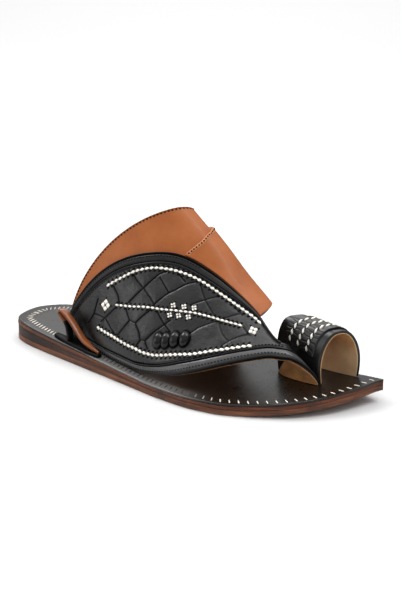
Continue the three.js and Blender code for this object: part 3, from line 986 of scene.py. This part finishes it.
def insole_outline():
    """Outline of the insole in plan, from the toe back along the outer side, round the heel and forward."""
    stations = sole_stations()
    share = np.interp(np.linspace(0, 1, 1600), np.linspace(0, 1, len(stations)), stations)
    x, outer, inner = sole_plan(share)
    return np.concatenate([np.column_stack([x, outer])[::-1], np.column_stack([x, inner])])


def stitch_axes(x, into):
    """Axes of an insole stitch that points inward and leans to the heel, but straight in at the ends."""
    lean = STITCH_LEAN if abs(into[0]) < 0.95 else 0.0
    slope = (insole_top(x + 1) - insole_top(x - 1)) / 2
    out = unit(np.array([-slope, 0, 1]))
    return axes_on(out, np.array([into[0] - lean, into[1], 0]))


def build_insole_stitches():
    line = insole_outline()
    tangent = unit(np.gradient(line, axis=0) + 1e-9)
    inward = np.stack([tangent[:, 1], -tangent[:, 0]], axis=-1)
    row = line + inward * STITCH_INSET(line[:, 0])
    length = passed_length(row)
    stitch = pill(*INSOLE_STITCH)
    cluster = Cluster()
    reach = STITCH_MARGIN
    while reach < length[-1] - STITCH_MARGIN:
        x, y = at_length(reach, length, row)
        into = unit(at_length(reach, length, inward))
        inner_side = reach > length[-1] / 2
        if not inner_side or x < LAST_INNER_STITCH:
            stitch_shade = INNER_STITCH_SHADE if inner_side else STITCH_PAINTED_SHADE(x)[0]
            origin = np.array([x, y, insole_top(x) + STITCH_LIFT])
            cluster.add(stitch, origin, stitch_axes(x, into), stitch_shade)
        reach += STITCH_PITCH(x)[0]
    cluster.piece("insole_stitching", CREAM_THREAD)


# Upper.

# Seams of the instep: s from the rear edge, u on the front band, and t by the leaf for the stitches' normals.
REAR_SEAM_INSET = 0.009
FRONT_SEAM_AT = 0.016
FRONT_SEAM_T = 0.4
REAR_PITCH = 2.8
FRONT_PITCH = 2.3


def rim_shade(grid, reach, strength):
    """Darkness that fades from the rim of a grid over the given distance."""
    down = passed_length(grid)
    across = passed_length(grid.swapaxes(0, 1)).T
    to_rim = np.minimum.reduce([down, down[-1:] - down, across, across[:, -1:] - across])
    return strength * bell(to_rim, reach)


def tan_sheet(name, node, outer, inner, split, reach, strength):
    """Lined sheet of tan leather, darker over a reach from its rim."""
    # The rim is darker: the burnished cut edge, with painted shade along it.
    dark = rim_shade(outer, reach, strength)
    shape = sheet_mesh(outer, inner, split)
    return make_piece(name, shape, [TAN, LINING], node, [dark, 0 * dark], strength)


def build_instep_band():
    u, v = grid_of(46, 190)
    s = mix(rear_edge(v), band_front(v), u)
    inner = vault_point(s, v, BAND_WALL[0])
    fade = np.sin(np.pi * v) * np.sin(np.pi * np.clip(u, 0.02, 1))
    outer = vault_point(s, v, BAND_WALL[1] + waves(inner, 55.0, 0.18, 3) * fade)
    piece = tan_sheet("instep_band", "upper", outer, inner, 0.35, 0.7, 0.7)
    round_edges(piece, 0.35)


def build_front_band():
    u, v = grid_of(70, 150)
    s, t = front_band_place(u, v)
    inner = vault_point(s, t, FRONT_BAND_WALL[0])
    outer = vault_point(s, t, FRONT_BAND_WALL[1] + waves(inner, 60.0, 0.15, 5) * np.sin(np.pi * u))
    piece = tan_sheet("front_band", "instep_front_band", outer, inner, 0.3, 0.8, 0.12)
    round_edges(piece, 0.6, 3)


def rear_place(t):
    return rear_edge(t) + REAR_SEAM_INSET, t


def front_seam(share):
    """Points and normals of the seam along the rear edge of the front band."""
    v = mix(0.01, 0.97, share)
    s, t = front_band_place(FRONT_SEAM_AT, v)
    return vault_point(s, t, FRONT_BAND_WALL[1]), vault_normal(s, mix(FRONT_SEAM_T, 1, v))


def build_instep_stitches():
    holes = Cluster()
    threads = Cluster()
    stitch_line(holes, vault_line(rear_place, (0.03, 0.985), BAND_WALL[1]), REAR_PITCH, REAR_HOLE)
    stitch_line(threads, front_seam, FRONT_PITCH, SEAM_THREAD)
    stitch_line(holes, front_seam, FRONT_PITCH, SEAM_HOLE)
    threads.piece("instep_seam_thread", TAN_THREAD, "tan_leather")
    holes.piece("instep_stitching", BROWN_THREAD, "tan_leather")


# Leaf strap.

PANEL_SPAN = (0.03, 0.9375)
PANEL_TUCK = 0.8
PANEL_FOOT = LEAF_WALL[1] - 0.05

# Relief of the panel: the swell between creases, the creases, and a channel and a ridge along the border.
PILLOW_HEIGHT = 0.5
PILLOW_REACH = 2.4
CREASE_DEPTH = 0.32
CREASE_REACH = 0.55
CHANNEL_DEPTH = 0.6
CHANNEL_AT = 0.45
CHANNEL_REACH = 0.75
UPPER_CHANNEL_SHARE = 0.45
RIDGE_HEIGHT = 0.22
RIDGE_AT = 1.15
RIDGE_REACH = 0.26
EMBOSSED_FROM = 1.2
TOE_RELIEF_SHARE = 0.6


def build_leaf_wall():
    u, v = grid_of(240, 56)
    shape = sheet_mesh(leaf_point(u, v, LEAF_WALL[1]), leaf_point(u, v, LEAF_WALL[0]), 0.4)
    piece = make_piece("leaf_strap", shape, [BLACK, LINING], "upper")
    round_edges(piece, 0.3)


def crease_distance(points):
    """Distance of each point from the nearest crease."""
    share = np.linspace(0, 1, 60)[:, None]
    runs = [np.array(run) for run in CREASES]
    places = np.concatenate([mix(a, b, share) for run in runs for a, b in zip(run[:-1], run[1:])])
    samples = leaf_point(places[:, 0], places[:, 1], LEAF_FACE)
    tree = kdtree.KDTree(len(samples))
    for i, sample in enumerate(samples):
        tree.insert(sample, i)
    tree.balance()
    distances = [tree.find(point)[2] for point in points.reshape(-1, 3)]
    return np.reshape(distances, points.shape[:-1])


def knot_frame(u, v):
    """Foot of a knot and its axes across, along and out of the leaf."""
    point = leaf_point(u, v, LEAF_FACE + KNOT_LIFT)
    out = leaf_normal(u, v)
    up = leaf_point(u, v + 0.02, LEAF_FACE) - point
    return point, turned(axes_on(out, np.cross(up, out)), KNOT_TURN)


def knot_contact_shadow(points):
    """Painted contact shadow: a dark rim on the panel round the foot of each knot."""
    rim = np.zeros(points.shape[:-1])
    for u, v in KNOTS:
        origin, axes = knot_frame(u, v)
        local = (points - origin) @ axes.T
        share = np.hypot(local[..., 0] / KNOT_WIDTH, local[..., 1] / KNOT_LENGTH) * 2
        rim = np.maximum(rim, 1 - ease(share, 1.05, 0.3))
    return rim


def panel_edges(u, v):
    """Shares of the embossing, of the channel and of the ridge at places of the panel."""
    to_low = v / leaf_share(u, 1.0) - BORDER_WIDTH
    to_high = (1 - v) / leaf_share(u, 1.0) - BORDER_WIDTH * border_taper(u)
    margin = np.minimum(to_low, to_high)
    embossed = ease(margin, EMBOSSED_FROM, 1.2) * mix(1, TOE_RELIEF_SHARE, ease(u, 0.52, 0.2))
    size = np.where(to_low < to_high, 1.0, UPPER_CHANNEL_SHARE)
    channel = size * bell(margin - CHANNEL_AT, CHANNEL_REACH * size)
    return embossed, channel, bell(margin - RIDGE_AT, RIDGE_REACH)


def build_leaf_panel():
    u = np.linspace(*PANEL_SPAN, 480)[:, None]
    low = leaf_share(u, BORDER_WIDTH - PANEL_TUCK)
    high = 1 - leaf_share(u, BORDER_WIDTH * border_taper(u) - PANEL_TUCK)
    v = mix(low, high, np.linspace(0, 1, 196))
    distance = crease_distance(leaf_point(u, v, LEAF_FACE))
    embossed, channel, ridge = panel_edges(u, v)
    pillow = PILLOW_HEIGHT * (1 - np.exp(-distance / PILLOW_REACH))
    groove = CREASE_DEPTH * bell(distance, CREASE_REACH)
    relief = embossed * (pillow - groove) - CHANNEL_DEPTH * channel + RIDGE_HEIGHT * ridge
    outer = leaf_point(u, v, LEAF_FACE + relief)
    # The creases, the channel along the border, a rim round each knot's foot and the fold by the heel end are
    # darkened, a painted shade; the skirt wall below the panel is all dark.
    crease = embossed * (1 - ease(distance, 0.3, 0.65))
    heel_fold_shade = 0.85 * (1 - ease(u, 0.14, 0.1)) * (1 - ease(v, 0.5, 0.15))
    dark = np.clip(crease + 0.9 * channel + knot_contact_shadow(outer) + heel_fold_shade, 0, 1)
    shape = skirt_mesh(outer, leaf_point(u, v, PANEL_FOOT))
    make_piece("leaf_face", shape, [PANEL], "leaf_panel", dark, 1.0, 75)


# Height of the border over the leaf's face, by its distance from the edge.
BORDER_PROFILE = np.array([
    (0.0, -0.1), (0.1, 0.25), (0.3, 0.42), (0.8, 0.5), (1.5, 0.5), (1.9, 0.42), (2.05, 0.3), (2.25, 0.6),
    (2.5, 0.74), (3.0, 0.8), (3.6, 0.85), (4.6, 0.88), (5.6, 0.84), (6.3, 0.74), (6.65, 0.55),
    (6.9, 0.1), (7.15, 0.45), (7.4, 0.85), (7.75, 1.0), (8.1, 0.88), (8.3, 0.5), (8.4, -0.1),
])
BORDER_FOOT = LEAF_WALL[1] - 0.1
BORDER_END_HIGH = 0.925
BORDER_END_LOW = 0.995
BORDER_TURN = 0.06
BORDER_START = 0.006
BORDER_START_SLOPE = 0.055
LOW_EDGE_INSET = 0.5

# Stitch lines of the border: distance from the edge, height over the leaf's face, first place w.
BORDER_SEAMS = [(3.0, 0.8, 0.17), (BORDER_WIDTH + 1.9, 0.2, 0.04)]
BORDER_SEAM_END = 0.97
BORDER_PITCH = 2.3


def border_taper(u):
    """Share of the border's full width on its upper run, which narrows towards the toe."""
    return 1 - 0.72 * ease(u, 0.6, 0.26)


def border_place(w, depth):
    """Place u v on the border: w from the upper end round the heel end to the lower end."""
    start = BORDER_START + BORDER_START_SLOPE * depth / BORDER_WIDTH
    low_inset = depth + LOW_EDGE_INSET
    run = 0.5 - BORDER_TURN
    turn = np.clip((w - run) / (2 * BORDER_TURN), 0, 1)
    u_high = mix(start, BORDER_END_HIGH, np.clip((run - w) / run, 0, 1))
    u_low = mix(start, BORDER_END_LOW, np.clip((w - 0.5 - BORDER_TURN) / run, 0, 1))
    u = np.where(w < 0.5, u_high, u_low)
    high = 1 - leaf_share(u, depth * border_taper(u))
    low = leaf_share(u, low_inset)
    middle = mix(1 - leaf_share(start, depth), leaf_share(start, low_inset), turn)
    v = np.where(np.abs(w - 0.5) <= BORDER_TURN, middle, np.where(w < 0.5, high, low))
    return u, v


def build_leaf_border():
    w = np.linspace(0, 1, 560)[:, None]
    depth, height = BORDER_PROFILE.T[:, None, :]
    u, v = border_place(w, depth)
    # The outer lip, the groove, the piping of the lower run and the whole upper run are darkened, a painted
    # shade; the binding's underside and rim are fully dark.
    lip = 0.75 * (1 - ease(depth, 1.8, 0.4))
    groove = 0.9 * bell(depth - 6.9, 0.25)
    lower_run = ease(w, 0.5 + BORDER_TURN, 0.1)
    piping = 0.85 * lower_run * ease(depth, 6.5, 0.4)
    dark = np.clip(lip + groove + piping + 0.7 * (1 - lower_run), 0, 1)
    shape = sheet_mesh(leaf_point(u, v, LEAF_FACE + height), leaf_point(u, v, BORDER_FOOT))
    make_piece("leaf_binding", shape, [BORDER], "leaf_border", dark, 1.0, 70)


def border_line(depth, height, first):
    def place(w):
        return leaf_place(*border_place(w, depth))

    return vault_line(place, (first, BORDER_SEAM_END), LEAF_FACE + height)


def build_border_stitches():
    cluster = Cluster()
    for seam in BORDER_SEAMS:
        stitch_line(cluster, border_line(*seam), BORDER_PITCH, BORDER_STITCH)
    cluster.piece("leaf_binding_stitching", BLACK_THREAD, "black_leather")


LACE_LIFT = 0.3
LACE_HEIGHT = 0.85
STAR_LIFT = 0.2
STAR_HEIGHT = 0.9


def lace_line(table):
    curve = Curve(table)

    def place(u):
        return leaf_place(u, curve(u)[..., 0])

    return vault_line(place, (table[0][0], table[-1][0]), LEAF_FACE + LACE_LIFT)


def lace(laces, holes, table, pitch, length, width, slant):
    """A row of flat lace crossings, with the dark slits that they pass through on both sides, a painted shade
    in the openings.
    """
    crossing = lozenge(length, width, slant, LACE_HEIGHT)
    slit = pill(*LACE_SLIT)
    for point, axes in line_frames(lace_line(table), pitch):
        laces.add(crossing, point, axes)
        for side in (1, -1):
            away = np.array([side * (slant + 0.5), side * (width / 2 + 0.45), SLIT_LIFT])
            holes.add(slit, point + away @ axes, turned(axes, 0.7))


def leaf_axes(u, v, turn):
    """Point of the leaf and its axes along, across and out there, turned about the third."""
    point = leaf_point(u, v, LEAF_FACE)
    out = leaf_normal(u, v)
    ahead = leaf_point(u + 0.01, v, LEAF_FACE) - point
    return point, turned(axes_on(out, ahead), turn)


def woven_star(laces, holes, u, v, size, width, turn, dot):
    """Four pointed lace ends round a dark centre, each with the slit that it passes into; slits and centre
    are a painted shade in the openings.
    """
    point, axes = leaf_axes(u, v, turn)
    point = point + axes[2] * STAR_LIFT
    ray = lozenge(0.52 * size, width, 0.0, STAR_HEIGHT)
    slit = pill(*STAR_SLIT)
    for quarter in range(4):
        arm = turned(axes, quarter * math.pi / 2)
        laces.add(ray, point + 0.25 * size * arm[0], arm)
        holes.add(slit, point + 0.55 * size * arm[0] + SLIT_LIFT * arm[2], arm)
    holes.add(pill(dot, dot, 0.5), point + axes[2] * 0.75, axes)


def build_lacing():
    laces = Cluster()
    holes = Cluster()
    for row in LACE_ROWS:
        lace(laces, holes, *row)
    for star in ROSETTES:
        woven_star(laces, holes, *star)
    for place in SMALL_CROSSES:
        woven_star(laces, holes, *place, *SMALL_CROSS)
    laces.piece("leaf_lacing", WHITE)
    holes.piece("leaf_lace_slits", BLACK_THREAD, "black_leather")


def knot_shape():
    """Plump oval bead with a flat foot."""
    around = np.linspace(0, 2 * np.pi, 28, endpoint=False)
    up = np.linspace(-0.25, np.pi / 2, 11)[:, None]
    radius = np.cos(up) ** 0.85
    x = radius * np.cos(around) * KNOT_WIDTH / 2
    y = radius * np.sin(around) * KNOT_LENGTH / 2
    return ring_shape(x, y, np.sin(up) * KNOT_HEIGHT)


def build_knots():
    shape = knot_shape()
    for number, (u, v) in enumerate(KNOTS, 1):
        cluster = Cluster()
        cluster.add(shape, *knot_frame(u, v))
        cluster.piece(f"leaf_bead_{number}", GLOSS, "black_leather", f"leaf_knot_{number}")


# Toe loop.

# Fine grooves near both mouths of the loop: places f, depth and width.
MOUTH_GROOVES = (0.17, 0.85)
MOUTH_GROOVE_DEPTH = 0.16
MOUTH_GROOVE_REACH = 0.018

# Creases of the stitched band: along each row of lacing, and wavy ones across.
TOE_CREASE_DEPTH = 0.34
TOE_CREASE_COUNT = 15
TOE_BAND_FOOT = TOE_LOOP_WALL[2] - 0.1

TOE_LACE_SPAN = (0.135, 0.93)
TOE_LACE_LIFT = 0.2
TOE_LACE_PITCH = 4.9
TOE_LACE_TURN = 0.28
TOE_LACE = (4.6, 1.95, 0.9, LACE_HEIGHT)


def build_toe_loop():
    f, a = grid_of(40, 110)
    lining = toe_loop_point(f, a, TOE_LOOP_WALL[0])
    middle = toe_loop_point(f, a, TOE_LOOP_WALL[1])
    groove = MOUTH_GROOVE_DEPTH * sum(bell(f - place, MOUTH_GROOVE_REACH) for place in MOUTH_GROOVES)
    outer = toe_loop_point(f, a, TOE_LOOP_WALL[2] - groove)
    shell = make_piece("toe_loop_shell", sheet_mesh(outer, middle), [BLACK], "toe_loop")
    round_edges(shell, 0.5, 3)
    # The low part of the inner wall is turned to the pale tone, a painted light from the floor; the rim gets
    # the pale tone of the raw edge.
    painted_light = 0 * f + 0.55 * ease(a, 0.72, 0.2)
    shape = sheet_mesh(middle, lining)
    lining = make_piece("toe_loop_lining", shape, [LINING], "toe_loop", [painted_light, painted_light], 1.0)
    round_edges(lining, 0.2)


def toe_band(u, v, away):
    return toe_loop_point(mix(*TOE_BAND_SPAN, u), mix(*TOE_BAND_AROUND, v), away)


def toe_creases(u, v):
    """Depth of the band's creases, from 0 to 1."""
    first, last = TOE_BAND_SPAN
    rows = [(row - first) / (last - first) for row in TOE_LACE_ROWS]
    along = sum(bell(u - row, 0.022) for row in rows)
    across = 0 * v
    for k in range(TOE_CREASE_COUNT):
        middle = (k + 0.5) / TOE_CREASE_COUNT + 0.014 * np.sin(9 * u + k)
        across = across + bell(v - middle, 0.005)
    return np.clip(along + 0.8 * across, 0, 1)


def build_toe_band():
    u, v = grid_of(100, 190)
    creases = toe_creases(u, v)
    outer = toe_band(u, v, TOE_BAND_TOP - TOE_CREASE_DEPTH * creases)
    shape = sheet_mesh(outer, toe_band(u, v, TOE_BAND_FOOT))
    # The creases are darkened too, a painted shade.
    dark = 0.9 * creases
    piece = make_piece("toe_loop_wrap", shape, [BLACK], "toe_loop_band", dark, sharp=60)
    round_edges(piece, 0.5, 3)


def toe_lace_line(f):
    def line(share):
        a = mix(*TOE_LACE_SPAN, share)
        return toe_loop_point(f, a, TOE_BAND_TOP + TOE_LACE_LIFT), toe_loop_normal(f, a)

    return line


def build_toe_lacing():
    """Rows of lace over the toe loop; the first crossings of each, low on the outer side, get a painted
    shade.
    """
    laces = Cluster()
    crossing = lozenge(*TOE_LACE)
    for f in TOE_LACE_ROWS:
        for number, (point, axes) in enumerate(line_frames(toe_lace_line(f), TOE_LACE_PITCH)):
            laces.add(crossing, point, turned(axes, TOE_LACE_TURN), max(0.5 - 0.25 * number, 0))
    laces.piece("toe_loop_lacing", WHITE)


# Side loop and tab.

KEEPER_CORNER = 0.9
KEEPER_STEPS = 120
KEEPER_SINK = 0.4
# The strap narrows by this share to its far end, from this share of its length on.
KEEPER_NARROW = 0.75
KEEPER_NARROW_FROM = 0.78
TAB_LIFT = 0.02

# Section of the tab: distance across, and height as a share of its thickness.
TAB_SECTION = np.array([
    (-TAB_OUT, 0), (TAB_IN, 0), (TAB_IN, 0.6), (TAB_IN - 0.3, 0.85), (TAB_IN - 0.9, 1), (-0.5, 1.03),
    (0.9 - TAB_OUT, 1), (0.3 - TAB_OUT, 0.85), (-TAB_OUT, 0.6),
])
KEEPER_AHEAD = unit(KEEPER_END - KEEPER_START)
KEEPER_ASIDE = np.array([-KEEPER_AHEAD[1], KEEPER_AHEAD[0]])


def spline(points, count):
    """Smooth line through points, at even steps of its length."""
    padded = np.concatenate([2 * points[:1] - points[1:2], points, 2 * points[-1:] - points[-2:-1]])
    parts = []
    share = np.linspace(0, 1, 40, endpoint=False)[:, None]
    for a, b, c, d in zip(padded[:-3], padded[1:-2], padded[2:-1], padded[3:]):
        parts.append(0.5 * (
            2 * b + (c - a) * share + (2 * a - 5 * b + 4 * c - d) * share ** 2
            + (3 * b - a - 3 * c + d) * share ** 3
        ))
    line = np.concatenate([*parts, points[-1:]])
    length = passed_length(line)
    return at_length(np.linspace(0, length[-1], count), length, line)


def strap_profile(width, thick, corner):
    """Rounded rectangle, width across and thick up."""
    loop = []
    for side, top, start in ((1, 1, 0), (-1, 1, 90), (-1, -1, 180), (1, -1, 270)):
        for angle in np.radians(np.linspace(start, start + 90, 4)):
            y = side * (width / 2 - corner) + corner * math.cos(angle)
            z = top * (thick / 2 - corner) + corner * math.sin(angle)
            loop.append((y, z))
    return np.array(loop)


def keeper_plan(along, across):
    """Places in plan by distances along and across the side loop."""
    return KEEPER_START + along[..., None] * KEEPER_AHEAD + across[..., None] * KEEPER_ASIDE


def keeper_line(base):
    """Middle line of the side loop, as distance along and height."""
    along, up = np.array(KEEPER_LINE, float).T
    x = keeper_plan(along, 0 * along)[:, 0]
    return spline(np.column_stack([along, insole_top(x) + base + up]), KEEPER_STEPS)


def keeper_shade(profile):
    """Painted shade round the rounded strap: darker at its inner edge and a little at its outer one."""
    across = profile[:, 0] / KEEPER_WIDTH
    dark = 0.9 * ease(across, 0.1, 0.35) + 0.65 * (1 - ease(across, -0.48, 0.18))
    return np.tile(dark, KEEPER_STEPS)


def build_side_loop():
    base = TAB_THICK + 2 * GAP
    line = keeper_line(base)
    tangent = unit(np.gradient(line, axis=0))
    up = np.stack([-tangent[:, 1], tangent[:, 0]], axis=-1)
    profile = strap_profile(KEEPER_WIDTH, KEEPER_THICK, KEEPER_CORNER)
    share = np.linspace(0, 1, KEEPER_STEPS)
    width = 1 - KEEPER_NARROW * ease(share, KEEPER_NARROW_FROM, 1 - KEEPER_NARROW_FROM)
    section = line[:, None] + up[:, None] * profile[:, 1:]
    plan = keeper_plan(section[..., 0], width[:, None] * profile[:, 0])
    height = np.maximum(section[..., 1], insole_top(plan[..., 0]) + base - KEEPER_SINK)
    black_part = np.repeat(share[1:] < KEEPER_BLACK_SHARE, len(profile))
    shape = (*loft_mesh(lifted(plan, height)), np.concatenate([black_part, [True, False]]))
    shade = keeper_shade(profile)
    make_piece("side_loop_strap", shape, [TAN_STRAP, BLACK], "side_loop", shade, sharp=60)


def build_side_tab():
    length = np.linalg.norm(KEEPER_END - KEEPER_START) + 2 * TAB_OVERRUN
    share = np.linspace(0, 1, 50)[:, None]
    narrow = 1 - 0.45 * np.abs(2 * share - 1) ** 4
    plan = keeper_plan(share * length - TAB_OVERRUN, narrow * TAB_SECTION[:, 0])
    height = insole_top(plan[..., 0]) + TAB_LIFT + (TAB_THICK + GAP) * TAB_SECTION[:, 1]
    shape = loft_mesh(lifted(plan, height))
    make_piece("side_tab_leather", shape, [TAB], "side_tab", sharp=60)


# Floor, light and camera.

# Reach and height of the floor in metres.
FLOOR_REACH = 12.0
FLOOR_HEIGHT = -0.0002

# Brightness of the studio at the horizon and overhead.
SKY_LOW = 0.4
SKY_HIGH = 1.0

# Softboxes: name, place, target, size in metres, power in watts.
SHOE = (0, 0, 0.05)
SOFTBOXES = [
    ("heel softbox", (-0.8, -0.1, 1.1), SHOE, (0.6, 0.6), 10.5),
    ("overhead softbox", (0.15, 0.2, 1.25), SHOE, (1.0, 1.0), 7),
    ("toe softbox", (0.8, 0.5, 1.4), SHOE, (0.7, 0.7), 7),
    ("side softbox", (-0.9, -0.95, 0.5), SHOE, (0.6, 0.6), 2.4),
    ("backdrop softbox", (-1.3, 1.9, 1.8), (-1.2, 1.7, 0), (2.4, 1.6), 34),
]

# Camera: place in millimetres, lens for a 36 mm wide sensor, and axes to the right, up and back.
CAMERA_PLACE = (509.3, -701.2, 369.3)
CAMERA_LENS = 77.87
CAMERA_SENSOR = 36.0
CAMERA_RIGHT = (0.8192, 0.5736, 0.0)
CAMERA_UP = (-0.1962, 0.2802, 0.9397)
CAMERA_BACK = (0.5390, -0.7698, 0.3420)


def build_floor():
    ends = (-FLOOR_REACH, FLOOR_REACH)
    mesh = bpy.data.meshes.new("floor")
    mesh.from_pydata([(x, y, 0) for y in ends for x in ends], [], [(0, 1, 3, 2)])
    floor = bpy.data.objects.new("floor", mesh)
    floor.location.z = FLOOR_HEIGHT
    scene.collection.objects.link(floor)
    paper = Shader("white paper")
    paper.surface({"Base Color": (0.6, 0.6, 0.6), "Roughness": 0.9, "Specular IOR Level": 0.1})
    mesh.materials.append(paper.material)


def area_light(name, place, target, size, power):
    data = bpy.data.lights.new(name, "AREA")
    data.shape = "RECTANGLE"
    data.size, data.size_y = size
    data.energy = power
    light = bpy.data.objects.new(name, data)
    light.location = place
    aim = Vector(target) - Vector(place)
    light.rotation_euler = aim.to_track_quat("-Z", "Y").to_euler()
    scene.collection.objects.link(light)


def build_light():
    """White sky that brightens upward, and softboxes."""
    world = bpy.data.worlds.new("studio")
    world.use_nodes = True
    tree = world.node_tree
    place = add_node(tree, "ShaderNodeTexCoord", "Generated", {})
    height = add_node(tree, "ShaderNodeSeparateXYZ", "Z", {"Vector": place})
    inputs = {"Value": height, "From Min": 0.05, "From Max": 0.95, "To Min": SKY_LOW, "To Max": SKY_HIGH}
    level = add_node(tree, "ShaderNodeMapRange", "Result", inputs)
    fill_inputs(tree, tree.nodes["Background"], {"Color": (1, 1, 1), "Strength": level})
    scene.world = world
    for softbox in SOFTBOXES:
        area_light(*softbox)
    scene.view_settings.view_transform = "Standard"


def build_camera():
    data = bpy.data.cameras.new("camera")
    data.lens = CAMERA_LENS
    data.sensor_width = CAMERA_SENSOR
    data.clip_start = 0.05
    camera = bpy.data.objects.new("camera", data)
    rows = [(CAMERA_RIGHT[k], CAMERA_UP[k], CAMERA_BACK[k], CAMERA_PLACE[k] * MM) for k in range(3)]
    camera.matrix_world = Matrix([*rows, (0, 0, 0, 1)])
    scene.collection.objects.link(camera)
    scene.camera = camera


build_camera()
build_light()
build_floor()
build_sole()
build_insole_stitches()
build_instep_band()
build_front_band()
build_instep_stitches()
build_leaf_wall()
build_leaf_panel()
build_leaf_border()
build_border_stitches()
build_lacing()
build_knots()
build_toe_loop()
build_toe_band()
build_toe_lacing()
build_side_loop()
build_side_tab()
